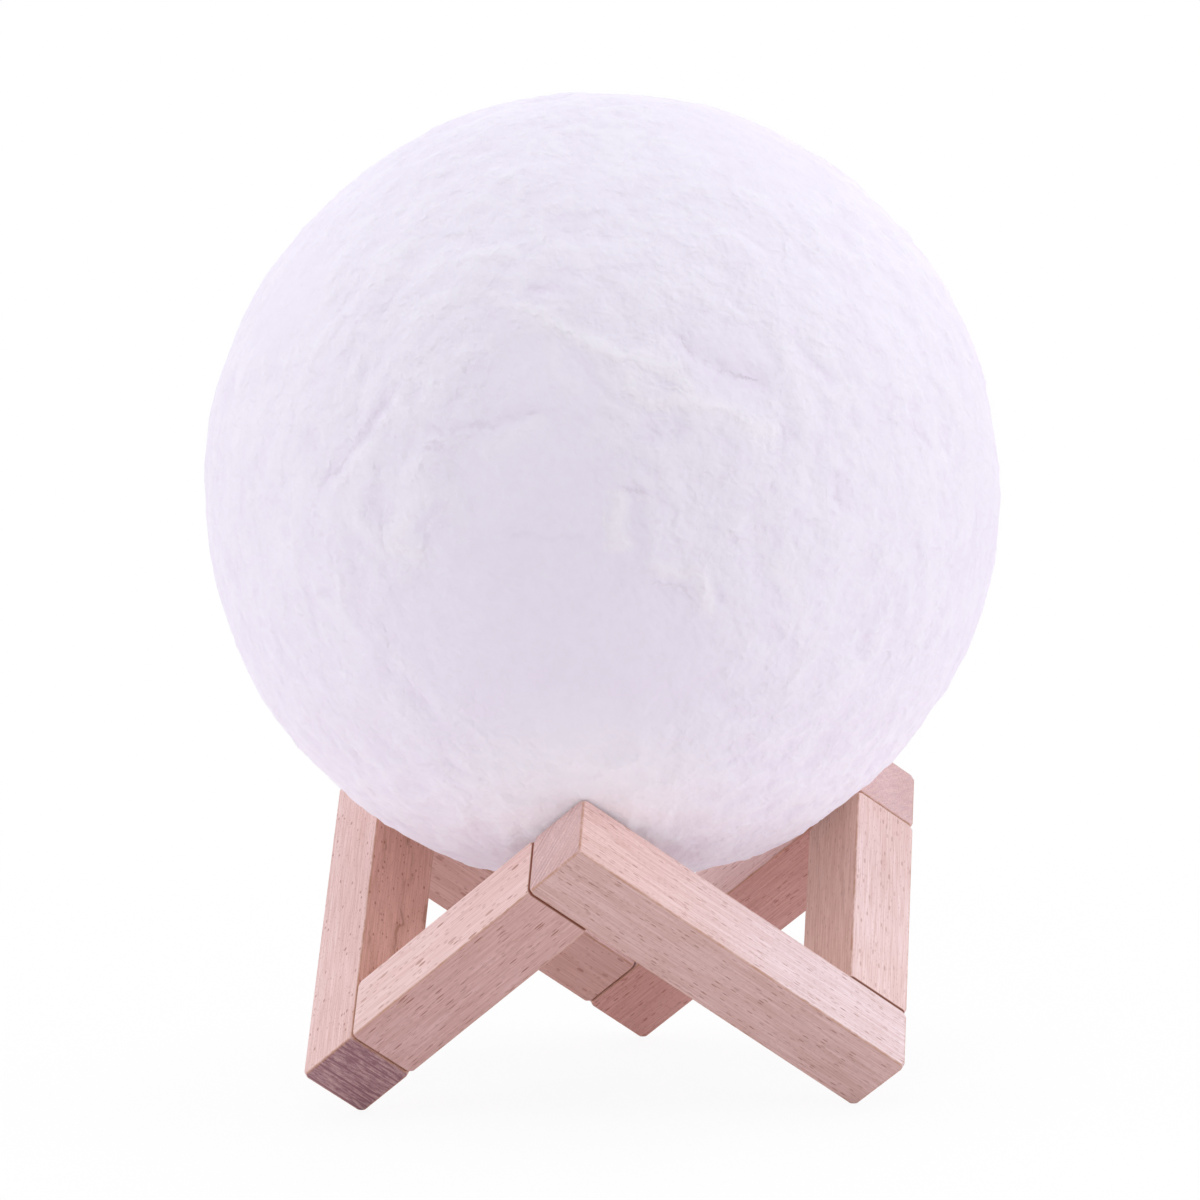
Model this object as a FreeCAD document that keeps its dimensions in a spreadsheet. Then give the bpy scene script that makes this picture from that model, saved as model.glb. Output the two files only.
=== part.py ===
import FreeCAD, Part
import math
import os
import re
import Sketcher

# Moon lamp: a hollow printed globe with a rechargeable light unit, resting
# on a cradle of six square beech sticks that follow the zigzag edges of a
# cube stood on one corner.
#
# Part frame, in millimetres: +Z is up, the origin is on the surface that the
# cradle stands on, below the middle of the globe, and -Y is the front.
#
# The sticks are modelled in the cube's own axes and then turned, so that the
# cube's body diagonal is upright. The pieces of the globe are modelled from
# the flat face of its base cap, upwards.

Vector = FreeCAD.Vector
Rotation = FreeCAD.Rotation

# Driving dimensions: name, value, meaning.
SIZES = [
    # Cradle.
    ("cube_edge", 79.5, "edge of the cube that the sticks follow, and length of a long stick"),
    ("stick_side", 14.2, "side of the square sticks"),
    ("edge_ease", 0.8, "radius on every edge of a stick"),
    ("dowel_radius", 2.5, "wooden pin hidden in each corner joint"),
    ("dowel_reach", 9.0, "how far a pin goes into each stick"),
    ("bore_extra", 0.5, "empty bore past the end of a pin"),
    ("glue_gap", 0.05, "glue film round a pin"),
    # Globe.
    ("moon_diameter", 150.0, "mean diameter of the globe's rough surface"),
    ("relief_depth", 0.8, "height of that mean surface over the smooth shell"),
    ("shell_wall", 2.0, "wall of the smooth shell"),
    ("seat_gap", 0.2, "gap between the shell and the tips of the sticks"),
    ("collar_wall", 2.0, "wall of the collar round the globe's opening"),
    ("collar_height", 8.0, "height of the collar over the cap's face"),
    ("ledge_width", 1.8, "ledge in the opening that the cap's flange meets"),
    # Base cap.
    ("fit_gap", 0.2, "clearance between moulded parts"),
    ("face_thickness", 2.0, "thickness of the cap's face"),
    ("cap_wall", 1.5, "wall of the cap's skirt"),
    ("cap_height", 16.0, "height of the skirt over the cap's face"),
    ("snap_height", 1.2, "height of the snap bead over the collar"),
    ("snap_width", 0.6, "width of the snap bead"),
    # Lamp housing and its screws.
    ("housing_wall", 1.5, "wall of the lamp housing"),
    ("housing_top", 1.8, "thickness of the lamp housing's top"),
    ("leg_radius", 2.4, "legs of the housing and bosses of the cap"),
    ("leg_gap", 0.6, "gap between a leg and the battery"),
    ("screw_radius", 1.2, "shank of a housing screw"),
    ("screw_head_radius", 2.1, "head of a housing screw"),
    ("screw_head_height", 1.2, "height of that head"),
    ("screw_length", 14.0, "shank length of a housing screw"),
    ("screw_recess", 0.3, "depth of the heads below the cap's face"),
    ("thread_gap", 0.05, "pilot hole over the shank"),
    # Battery.
    ("battery_width", 24.0, "pouch cell, left to right"),
    ("battery_thickness", 7.0, "pouch cell, front to back"),
    ("battery_height", 18.0, "pouch cell, standing"),
    ("pad_thickness", 1.0, "foam pads under and over the battery"),
    ("guard_board_height", 1.2, "protection board on top of the cell"),
    ("guard_board_depth", 4.0, "protection board, front to back"),
    ("guard_board_inset", 2.0, "protection board short of the cell's ends"),
    # Main board and what is on it.
    ("board_thickness", 1.6, "main circuit board"),
    ("part_gap", 1.0, "room between neighbouring parts on the board"),
    ("socket_width", 6.0, "wire socket, left to right"),
    ("socket_depth", 4.5, "wire socket, front to back"),
    ("socket_height", 6.0, "wire socket"),
    ("socket_wall", 0.5, "wall of a wire socket"),
    ("socket_floor", 1.0, "floor of a wire socket"),
    ("plug_gap", 0.1, "clearance of a plug in its socket"),
    ("plug_height", 7.0, "wire plug"),
    ("control_chip_width", 5.0, "controller chip, left to right"),
    ("control_chip_depth", 4.0, "controller chip, front to back"),
    ("control_chip_height", 1.5, "controller chip"),
    ("charge_chip_width", 3.0, "charging chip, left to right"),
    ("charge_chip_depth", 1.7, "charging chip, front to back"),
    ("charge_chip_height", 1.1, "charging chip"),
    ("capacitor_width", 1.3, "capacitor, left to right"),
    ("capacitor_depth", 2.0, "capacitor, front to back"),
    ("capacitor_height", 1.2, "capacitor"),
    ("resistor_width", 0.8, "resistor, left to right"),
    ("resistor_depth", 1.6, "resistor, front to back"),
    ("resistor_height", 0.5, "resistor"),
    # Wires.
    ("wire_radius", 0.5, "insulated wire"),
    ("wire_pitch", 2.0, "spacing of the wires in a plug"),
    ("wire_bend", 4.0, "bend radius of a battery wire"),
    # Power button and its switch.
    ("button_radius", 5.0, "power button"),
    ("button_gap", 0.25, "clearance round the button"),
    ("button_recess", 0.3, "depth of the button below the cap's face"),
    ("button_travel", 0.8, "travel of the button"),
    ("button_lip", 1.2, "width of the lip that keeps the button in"),
    ("button_lip_height", 1.0, "thickness of that lip"),
    ("switch_side", 6.0, "side of the square switch"),
    ("switch_height", 3.5, "body of the switch"),
    ("plunger_radius", 1.6, "plunger of the switch"),
    ("plunger_gap", 0.1, "clearance round the plunger"),
    ("plunger_depth", 1.0, "plunger inside the switch, at rest"),
    # Charging socket.
    ("usb_width", 8.0, "charging socket, left to right"),
    ("usb_depth", 3.0, "charging socket, front to back"),
    ("usb_wall", 0.3, "sheet metal of the charging socket"),
    ("usb_recess", 0.8, "depth of its mouth below the cap's face"),
    ("usb_gap", 1.6, "room between the socket and the button's lip"),
    ("usb_block_height", 2.5, "plastic block at the back of the socket"),
    ("tongue_width", 5.0, "contact tongue"),
    ("tongue_depth", 0.7, "contact tongue"),
    ("tongue_height", 4.0, "contact tongue"),
    ("seam_gap", 0.05, "room between the block and the metal"),
    # Charging light.
    ("pipe_radius", 1.2, "clear pipe that shows the charging light"),
    ("pipe_lip", 0.6, "lip of the pipe inside the cap"),
    ("indicator_side", 1.6, "charging light on the board"),
    ("indicator_depth", 0.8, "charging light, front to back"),
    ("indicator_height", 0.6, "charging light"),
    # Lights on top of the housing.
    ("light_board_thickness", 1.0, "round light board"),
    ("light_ring_radius", 7.5, "circle that the lights lie on"),
    ("light_side", 5.0, "side of a light"),
    ("light_height", 1.6, "height of a light"),
    ("lens_radius", 1.9, "round window of a light"),
    ("lens_height", 0.1, "height of the window over the light"),
    ("light_margin", 1.0, "board left round the lights"),
    ("small_screw_radius", 0.9, "shank of a light board screw"),
    ("small_head_radius", 1.6, "head of a light board screw"),
    ("small_head_height", 1.2, "height of that head"),
    ("small_screw_length", 4.0, "shank length of a light board screw"),
    ("small_boss_radius", 2.1, "boss that takes a light board screw"),
]

# Dimensions that follow from the driving ones: name, formula.
DERIVED = [
    # The eased lowest corners of the cradle touch the ground.
    ("ground_height", "(cube_edge - stick_side) / sqrt(3) + edge_ease * (sqrt(3) - 1)"),
    # The shell rests on the three eased tips. Each tip's round corner has
    # its centre at (tip_far, tip_far, tip_near) in the cube's axes.
    ("shell_radius", "moon_diameter / 2 - relief_depth"),
    ("tip_far", "cube_edge - edge_ease"),
    ("tip_near", "stick_side - edge_ease"),
    ("tip_reach", "shell_radius + seat_gap + edge_ease"),
    ("tip_root", "sqrt(3 * tip_reach^2 - 2 * (tip_far - tip_near)^2)"),
    ("globe_height", "(2 * tip_far + tip_near + tip_root) / sqrt(3) - ground_height"),
    # From the battery outwards to the opening in the globe.
    ("leg_circle", "battery_thickness + 2 * (leg_gap + leg_radius)"),
    ("battery_reach", "sqrt(battery_width^2 + battery_thickness^2) / 2 + leg_gap"),
    ("housing_inner", "max(leg_circle + leg_radius / 2; battery_reach)"),
    ("housing_outer", "housing_inner + housing_wall"),
    ("board_radius", "housing_outer - fit_gap / 2"),
    ("skirt_inner", "housing_outer + fit_gap"),
    ("skirt_outer", "skirt_inner + cap_wall"),
    ("collar_inner", "skirt_outer + fit_gap"),
    ("opening_radius", "collar_inner + ledge_width"),
    ("flange_radius", "opening_radius - fit_gap"),
    ("collar_outer", "opening_radius + collar_wall"),
    ("face_drop", "sqrt(shell_radius^2 - opening_radius^2)"),
    ("inner_radius", "shell_radius - shell_wall"),
    ("collar_drop", "sqrt(inner_radius^2 - collar_outer^2)"),
    ("face_height", "globe_height - face_drop"),
    # Levels over the cap's face.
    ("lip_bottom", "face_thickness + fit_gap"),
    ("lip_top", "lip_bottom + button_lip_height"),
    ("plunger_reach", "button_travel + part_gap"),
    ("switch_bottom", "lip_top + plunger_reach"),
    ("board_bottom", "switch_bottom + switch_height"),
    ("board_top", "board_bottom + board_thickness"),
    ("battery_bottom", "board_top + pad_thickness"),
    ("battery_top", "battery_bottom + battery_height"),
    ("guard_top", "battery_top + guard_board_height"),
    ("ceiling", "guard_top + pad_thickness"),
    ("light_board_bottom", "ceiling + housing_top"),
    ("light_board_top", "light_board_bottom + light_board_thickness"),
    ("light_top", "light_board_top + light_height"),
    ("screw_seat", "screw_recess + screw_head_height"),
    ("plug_bottom", "board_top + socket_floor + plug_gap"),
    ("plug_top", "plug_bottom + plug_height"),
    ("usb_height", "board_bottom - usb_recess"),
    ("indicator_bottom", "board_bottom - indicator_height"),
    # Places on the board.
    ("button_bore", "button_radius + button_gap"),
    ("lip_radius", "button_radius + button_lip"),
    ("usb_place", "lip_radius + usb_gap + usb_depth / 2"),
    ("pipe_place", "lip_radius + part_gap + pipe_radius + pipe_lip"),
    ("socket_x", "part_gap + socket_width / 2"),
    ("socket_y", "battery_thickness / 2 + part_gap + socket_depth / 2"),
    ("chip_x", "part_gap + control_chip_width / 2"),
    ("chip_y", "battery_thickness / 2 + part_gap + control_chip_depth / 2"),
    ("charger_x", "2 * part_gap + charge_chip_width / 2"),
    ("charger_y", "battery_thickness / 2 + part_gap + charge_chip_depth / 2"),
    ("light_board_radius", "light_ring_radius + light_side / 2 + 2 * light_margin"),
    ("small_screw_circle", "light_board_radius - small_head_radius - light_margin / 2"),
]

doc = FreeCAD.newDocument("MoonLamp")
nodes = []


def fill_sheet(name, rows):
    """Write rows of (alias, content, note) to a new spreadsheet."""
    sheet = doc.addObject("Spreadsheet::Sheet", name)
    for number, (alias, content, note) in enumerate(rows, 1):
        sheet.set(f"A{number}", alias)
        sheet.set(f"B{number}", content)
        sheet.setAlias(f"B{number}", alias)
        sheet.set(f"C{number}", note)
    doc.recompute()
    return sheet


SHEET_OF = {name: "Sizes" for name, value, note in SIZES}
SHEET_OF.update({name: "Derived" for name, formula in DERIVED})


def refer(formula):
    """Put the sheet's name before each dimension that a formula uses."""
    def with_sheet(match):
        word = match.group(0)
        if word in SHEET_OF:
            return f"{SHEET_OF[word]}.{word}"
        return word
    return re.sub(r"[a-z_]+", with_sheet, str(formula))


def bind(thing, **formulas):
    """Tie properties of an object to formulas over the dimensions."""
    for prop, formula in formulas.items():
        thing.setExpression(prop, refer(formula))


def place(thing, x=0, y=0, z=0):
    """Tie an object's position to formulas."""
    for letter, formula in zip("xyz", (x, y, z)):
        thing.setExpression(f"Placement.Base.{letter}", refer(formula))


def value(name):
    """Number that a dimension has now."""
    return float(getattr(doc.getObject(SHEET_OF[name]), name))


def origin_plane(body, role):
    """One of a body's own origin planes."""
    for feature in body.Origin.OriginFeatures:
        if feature.Role == role:
            return feature
    raise LookupError(role)


def new_body(name):
    """Start a piece."""
    body = doc.addObject("PartDesign::Body", name)
    body.Label = name
    return body


def add_box(body, name, length, width, height, x, y, z, cut=False):
    """Add or cut a box, centred on x and y, with its bottom at z."""
    kind = "PartDesign::SubtractiveBox" if cut else "PartDesign::AdditiveBox"
    box = body.newObject(kind, name)
    bind(box, Length=length, Width=width, Height=height)
    place(box, f"{x} - ({length}) / 2", f"{y} - ({width}) / 2", z)
    return box


def add_round(body, name, radius, height, x, y, z, cut=False, axis=None):
    """Add or cut a cylinder that starts at x, y, z and runs along axis."""
    kind = "PartDesign::SubtractiveCylinder" if cut else "PartDesign::AdditiveCylinder"
    cylinder = body.newObject(kind, name)
    bind(cylinder, Radius=radius, Height=height)
    if axis is not None:
        turn = Rotation(Vector(0, 0, 1), axis)
        cylinder.Placement = FreeCAD.Placement(Vector(), turn)
    place(cylinder, x, y, z)
    return cylinder


def evaluate(formula):
    """Number that a formula has now, for a sketch's first positions."""
    cell = doc.getObject("Scratch")
    cell.set("A1", "=" + refer(formula))
    cell.recompute()
    return float(cell.get("A1"))


def hold_point(sketch, geometry, end, x, y):
    """Fix a sketch point at the formulas x and y."""
    for kind, axis, formula in (("DistanceX", -2, x), ("DistanceY", -1, y)):
        if formula == 0:
            sketch.addConstraint(Sketcher.Constraint("PointOnObject", geometry, end, axis))
            continue
        start = evaluate(formula)
        held = sketch.addConstraint(Sketcher.Constraint(kind, -1, 1, geometry, end, start))
        sketch.setExpression(f"Constraints[{held}]", refer(formula))


def turned(body, outline, round_steps=()):
    """Turn a closed outline of (radius, height) formulas about the axis.

    A step whose number is in round_steps is an arc about the origin, from
    that point to the next, and the other steps are straight.
    """
    sketch = body.newObject("Sketcher::SketchObject", body.Name + "Outline")
    sketch.AttachmentSupport = [(origin_plane(body, "XZ_Plane"), "")]
    sketch.MapMode = "FlatFace"
    spots = [Vector(evaluate(x), evaluate(y), 0) for x, y in outline]
    count = len(spots)
    turns_back = {}
    for step, start in enumerate(spots):
        end = spots[(step + 1) % count]
        if step in round_steps:
            middle = (start + end).normalize() * start.Length
            arc = Part.Arc(start, middle, end)
            sketch.addGeometry(arc)
            first = sketch.getPoint(step, 1)
            turns_back[step] = first.distanceToPoint(start) > first.distanceToPoint(end)
        else:
            sketch.addGeometry(Part.LineSegment(start, end))
            turns_back[step] = False
    for step in range(count):
        after = (step + 1) % count
        end = 1 if turns_back[step] else 2
        start = 2 if turns_back[after] else 1
        sketch.addConstraint(Sketcher.Constraint("Coincident", step, end, after, start))
    for step, (x, y) in enumerate(outline):
        start = 2 if turns_back[step] else 1
        hold_point(sketch, step, start, x, y)
    for step in round_steps:
        sketch.addConstraint(Sketcher.Constraint("PointOnObject", step, 3, -2))
    doc.recompute()
    if not sketch.FullyConstrained:
        raise RuntimeError(f"{body.Name}: the outline isn't fixed")
    solid = body.newObject("PartDesign::Revolution", body.Name + "Turned")
    solid.Profile = sketch
    solid.ReferenceAxis = (sketch, ["V_Axis"])
    solid.Angle = 360
    return solid


def ease_edges(body, radius):
    """Round every edge of the piece as it stands."""
    doc.recompute()
    bar = body.Tip
    fillet = body.newObject("PartDesign::Fillet", body.Name + "Ease")
    fillet.Base = (bar, [])
    fillet.UseAllEdges = True
    bind(fillet, Radius=radius)


def group(name, members):
    """Join like pieces under one label, each still its own solid."""
    compound = doc.addObject("Part::Compound", name)
    compound.Label = name
    compound.Links = members
    return compound


def hand_in(piece, x=0, y=0, z="face_height"):
    """Set a piece of the globe at its place, and list it as a node."""
    place(piece, x, y, z)
    nodes.append(piece)


def ring(radius, count, first_angle=90):
    """Formulas for evenly spaced places on a circle about the axis."""
    places = []
    for step in range(count):
        angle = first_angle + 360 / count * step
        places.append((f"{radius} * cos({angle:g} deg)", f"{radius} * sin({angle:g} deg)"))
    return places


# ---------------------------------------------------------------- cradle

# The cube's three axes point left-front, right-front and rear, and each
# rises by the same angle.
UPRIGHT = 1 / math.sqrt(3)
LEVEL = math.sqrt(2 / 3)
CUBE_AXES = []
for bearing in (210, 330, 90):
    angle = math.radians(bearing)
    CUBE_AXES.append(Vector(LEVEL * math.cos(angle), LEVEL * math.sin(angle), UPRIGHT))
CUBE_TURN = Rotation(*CUBE_AXES, "ZXY")


def stand_in_cradle(piece, third):
    """Turn a piece from the cube's axes to its third of the cradle."""
    turn = Rotation(Vector(0, 0, 1), 120 * third).multiply(CUBE_TURN)
    piece.Placement = FreeCAD.Placement(Vector(), turn)
    place(piece, z="-ground_height")


def long_stick(name, third):
    """Stick of full length, which shows both its end grains."""
    stick = new_body(name)
    middle = "cube_edge - stick_side / 2"
    add_box(stick, name + "Bar", "stick_side", "stick_side", "cube_edge", middle, "stick_side / 2", 0)
    ease_edges(stick, "edge_ease")
    depth = "dowel_reach + bore_extra"
    radius = "dowel_radius + glue_gap"
    add_round(stick, name + "LowBore", radius, depth, middle, "stick_side", "stick_side / 2",
              cut=True, axis=Vector(0, -1, 0))
    add_round(stick, name + "HighBore", radius, depth, "cube_edge - stick_side", "stick_side / 2", middle,
              cut=True, axis=Vector(1, 0, 0))
    stand_in_cradle(stick, third)
    nodes.append(stick)


def short_stick(name, third):
    """Stick that butts against the sides of two long ones."""
    stick = new_body(name)
    length = "cube_edge - 2 * stick_side"
    middle = "cube_edge - stick_side / 2"
    add_box(stick, name + "Bar", "stick_side", length, "stick_side", middle, "cube_edge / 2", 0)
    ease_edges(stick, "edge_ease")
    depth = "dowel_reach + bore_extra"
    radius = "dowel_radius + glue_gap"
    add_round(stick, name + "NearBore", radius, depth, middle, "stick_side", "stick_side / 2",
              cut=True, axis=Vector(0, 1, 0))
    add_round(stick, name + "FarBore", radius, depth, middle, "cube_edge - stick_side", "stick_side / 2",
              cut=True, axis=Vector(0, -1, 0))
    stand_in_cradle(stick, third)
    nodes.append(stick)


def dowels():
    """Six hidden pins, one across each corner joint."""
    thirds = []
    for third in range(3):
        pins = []
        for end, joint in (("Near", "stick_side"), ("Far", "cube_edge - stick_side")):
            pin = doc.addObject("Part::Cylinder", f"Dowel{end}{third}")
            bind(pin, Radius="dowel_radius", Height="2 * dowel_reach")
            pin.Placement = FreeCAD.Placement(Vector(), Rotation(Vector(0, 0, 1), Vector(0, 1, 0)))
            place(pin, "cube_edge - stick_side / 2", f"{joint} - dowel_reach", "stick_side / 2")
            pins.append(pin)
        pair = group(f"DowelPair{third}", pins)
        stand_in_cradle(pair, third)
        thirds.append(pair)
    nodes.append(group("corner_dowels", thirds))


# ----------------------------------------------------------------- globe

def moon_shell():
    """Hollow globe, smooth here, with a collar round its opening."""
    shell = new_body("moon_shell")
    turned(shell, [
        (0, "shell_radius"),
        ("opening_radius", "-face_drop"),
        ("opening_radius", "face_thickness - face_drop"),
        ("collar_inner", "face_thickness - face_drop"),
        ("collar_inner", "collar_height - face_drop"),
        ("collar_outer", "collar_height - face_drop"),
        ("collar_outer", "-collar_drop"),
        (0, "inner_radius"),
    ], round_steps=(0, 6))
    hand_in(shell, z="globe_height")


def base_cap():
    """Flanged cup that snaps into the opening and holds the electronics."""
    cap = new_body("base_cap")
    bead = "collar_height + fit_gap"
    turned(cap, [
        ("button_bore", 0),
        ("flange_radius", 0),
        ("flange_radius", "face_thickness"),
        ("skirt_outer", "face_thickness"),
        ("skirt_outer", bead),
        ("skirt_outer + snap_width", bead),
        ("skirt_outer", f"{bead} + snap_height"),
        ("skirt_outer", "cap_height"),
        ("skirt_inner", "cap_height"),
        ("skirt_inner", "face_thickness"),
        ("button_bore", "face_thickness"),
    ])
    for number, (x, y) in enumerate(ring("leg_circle", 3), 1):
        add_round(cap, f"CapBoss{number}", "leg_radius", "board_bottom", x, y, 0)
        add_round(cap, f"CapHole{number}", "screw_radius + fit_gap", "board_bottom", x, y, 0, cut=True)
        add_round(cap, f"HeadBore{number}", "screw_head_radius + fit_gap", "screw_seat", x, y, 0, cut=True)
    add_box(cap, "UsbSlot", "usb_width + 2 * fit_gap", "usb_depth + 2 * fit_gap", "face_thickness",
            0, "-usb_place", 0, cut=True)
    add_round(cap, "PipeHole", "pipe_radius + plug_gap", "face_thickness", "pipe_place", 0, 0, cut=True)
    hand_in(cap)


def lamp_housing():
    """Upturned cup over the board and battery, which carries the lights."""
    housing = new_body("lamp_housing")
    turned(housing, [
        ("housing_inner", "board_top"),
        ("housing_outer", "board_top"),
        ("housing_outer", "light_board_bottom"),
        (0, "light_board_bottom"),
        (0, "ceiling"),
        ("housing_inner", "ceiling"),
    ])
    pilot = "screw_length + screw_seat - board_top + fit_gap"
    for number, (x, y) in enumerate(ring("leg_circle", 3), 1):
        add_round(housing, f"Leg{number}", "leg_radius", "ceiling - board_top", x, y, "board_top")
        add_round(housing, f"LegPilot{number}", "screw_radius + thread_gap", pilot, x, y, "board_top", cut=True)
    for number, (x, y) in enumerate(ring("small_screw_circle", 2), 1):
        depth = "small_screw_length - light_board_thickness + fit_gap"
        boss = f"{depth} + fit_gap - housing_top"
        add_round(housing, f"LightBoss{number}", "small_boss_radius", f"{boss} + housing_top / 2", x, y,
                  f"ceiling - ({boss})")
        add_round(housing, f"LightPilot{number}", "small_screw_radius + thread_gap", depth, x, y,
                  f"light_board_bottom - ({depth})", cut=True)
    add_round(housing, "WireHole", "wire_pitch / 2 + 2 * wire_radius", "housing_top", "-socket_x", "socket_y",
              "ceiling", cut=True)
    hand_in(housing)


def screws(name, places, head_radius, head_height, shank_radius, shank_length, seat, up):
    """Like screws on a circle, heads outwards from the seat."""
    copies = []
    tip = f"{seat} + {shank_length}" if up else f"{seat} - {shank_length}"
    head = f"{seat} - {head_height}" if up else f"{seat} + {head_height}"
    for number, (x, y) in enumerate(places, 1):
        screw = new_body(f"{name}_{number}")
        turned(screw, [
            (0, head),
            (head_radius, head),
            (head_radius, seat),
            (shank_radius, seat),
            (shank_radius, tip),
            (0, tip),
        ])
        place(screw, x, y)
        copies.append(screw)
    hand_in(group(name, copies))


def main_board():
    """Round circuit board, clamped between the cap's bosses and the housing."""
    board = new_body("main_board")
    add_round(board, "BoardDisc", "board_radius", "board_thickness", 0, 0, "board_bottom")
    for number, (x, y) in enumerate(ring("leg_circle", 3), 1):
        add_round(board, f"BoardHole{number}", "screw_radius + fit_gap", "board_thickness", x, y,
                  "board_bottom", cut=True)
    hand_in(board)


def block(name, length, width, height, x, y, z):
    """Piece that is a plain box."""
    body = new_body(name)
    add_box(body, name + "Block", length, width, height, x, y, z)
    hand_in(body)


def block_group(name, length, width, height, places, z):
    """Like boxes at several places."""
    copies = []
    for number, (x, y) in enumerate(places, 1):
        box = doc.addObject("Part::Box", f"{name}_{number}")
        bind(box, Length=length, Width=width, Height=height)
        place(box, f"{x} - {length} / 2", f"{y} - {width} / 2", z)
        copies.append(box)
    hand_in(group(name, copies))


def battery():
    """Pouch cell between foam pads, with its protection board on top."""
    block("battery_cell", "battery_width", "battery_thickness", "battery_height", 0, 0, "battery_bottom")
    guard_width = "battery_width - 2 * guard_board_inset"
    block("battery_guard_board", guard_width, "guard_board_depth", "guard_board_height", 0, 0, "battery_top")
    pads = []
    for number, level in enumerate(("board_top", "guard_top"), 1):
        pad = doc.addObject("Part::Box", f"battery_pads_{number}")
        bind(pad, Length=guard_width, Width="guard_board_depth", Height="pad_thickness")
        place(pad, f"-({guard_width}) / 2", "-guard_board_depth / 2", level)
        pads.append(pad)
    hand_in(group("battery_pads", pads))


def wire_socket(name, x, y):
    """Open-topped socket on the board."""
    socket = new_body(name)
    add_box(socket, name + "Block", "socket_width", "socket_depth", "socket_height", x, y, "board_top")
    add_box(socket, name + "Well", "socket_width - 2 * socket_wall", "socket_depth - 2 * socket_wall",
            "socket_height", x, y, "board_top + socket_floor", cut=True)
    hand_in(socket)


def wire_plug(name, x, y):
    """Plug that stands in a socket."""
    side = "2 * (socket_wall + plug_gap)"
    block(name, f"socket_width - {side}", f"socket_depth - {side}", "plug_height", x, y, "plug_bottom")


def battery_wire(name, side):
    """Wire from the protection board's front edge, bent down to its plug."""
    wire = new_body(name)
    x = f"socket_x + {side} * wire_pitch / 2"
    start_y = "-guard_board_depth / 2"
    end_y = "-socket_y"
    level = "battery_top + guard_board_height / 2"
    path = wire.newObject("Sketcher::SketchObject", name + "Path")
    path.AttachmentSupport = [(origin_plane(wire, "YZ_Plane"), "")]
    path.MapMode = "FlatFace"
    path.setExpression("AttachmentOffset.Base.z", refer(x))
    corner_y = evaluate(end_y)
    high = evaluate(level)
    bend = value("wire_bend")
    path.addGeometry(Part.LineSegment(Vector(evaluate(start_y), high, 0), Vector(corner_y + bend, high, 0)))
    centre = Vector(corner_y + bend, high - bend, 0)
    circle = Part.Circle(centre, Vector(0, 0, 1), bend)
    path.addGeometry(Part.ArcOfCircle(circle, math.pi / 2, math.pi))
    path.addGeometry(Part.LineSegment(Vector(corner_y, high - bend, 0), Vector(corner_y, evaluate("plug_top"), 0)))
    path.addConstraint(Sketcher.Constraint("Tangent", 0, 2, 1, 1))
    path.addConstraint(Sketcher.Constraint("Tangent", 1, 2, 2, 1))
    path.addConstraint(Sketcher.Constraint("Horizontal", 0))
    path.addConstraint(Sketcher.Constraint("Vertical", 2))
    held = path.addConstraint(Sketcher.Constraint("Radius", 1, bend))
    path.setExpression(f"Constraints[{held}]", refer("wire_bend"))
    hold_point(path, 0, 1, start_y, level)
    hold_point(path, 2, 2, end_y, "plug_top")
    section = wire.newObject("Sketcher::SketchObject", name + "Section")
    section.AttachmentSupport = [(origin_plane(wire, "XZ_Plane"), "")]
    section.MapMode = "FlatFace"
    section.setExpression("AttachmentOffset.Base.z", refer("guard_board_depth / 2"))
    section.addGeometry(Part.Circle(Vector(evaluate(x), high, 0), Vector(0, 0, 1), value("wire_radius")))
    hold_point(section, 0, 3, x, level)
    held = section.addConstraint(Sketcher.Constraint("Radius", 0, value("wire_radius")))
    section.setExpression(f"Constraints[{held}]", refer("wire_radius"))
    doc.recompute()
    pipe = wire.newObject("PartDesign::AdditivePipe", name + "Pipe")
    pipe.Profile = section
    pipe.Spine = (path, ["Edge1", "Edge2", "Edge3"])
    doc.recompute()
    length = path.Shape.Length
    print(f"{name}: {length:.1f} mm long, bend radius {bend:g} mm")
    expected = length * math.pi * value("wire_radius") ** 2
    if abs(wire.Shape.Volume - expected) > 0.01 * expected:
        raise RuntimeError(f"{name}: volume {wire.Shape.Volume:.2f}, expected {expected:.2f}")
    hand_in(wire)


def light_wires():
    """Two wires that rise from their plug to the underside of the light board."""
    copies = []
    for number, side in enumerate((-1, 1), 1):
        wire = doc.addObject("Part::Cylinder", f"light_wires_{number}")
        bind(wire, Radius="wire_radius", Height="light_board_bottom - plug_top")
        place(wire, f"-socket_x + {side} * wire_pitch / 2", "socket_y", "plug_top")
        copies.append(wire)
    hand_in(group("light_wires", copies))


def charging_socket():
    """Metal shell that hangs from the board, with a tongue inside."""
    shell = new_body("usb_shell")
    add_box(shell, "UsbOuter", "usb_width", "usb_depth", "usb_height", 0, "-usb_place", "usb_recess")
    add_box(shell, "UsbInner", "usb_width - 2 * usb_wall", "usb_depth - 2 * usb_wall", "usb_height",
            0, "-usb_place", "usb_recess", cut=True)
    hand_in(shell)
    tongue = new_body("usb_tongue")
    side = "2 * (usb_wall + seam_gap)"
    add_box(tongue, "UsbBlock", f"usb_width - {side}", f"usb_depth - {side}", "usb_block_height",
            0, "-usb_place", "board_bottom - usb_block_height")
    add_box(tongue, "UsbTongue", "tongue_width", "tongue_depth", "tongue_height",
            0, "-usb_place", "board_bottom - usb_block_height - tongue_height")
    hand_in(tongue)


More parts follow.
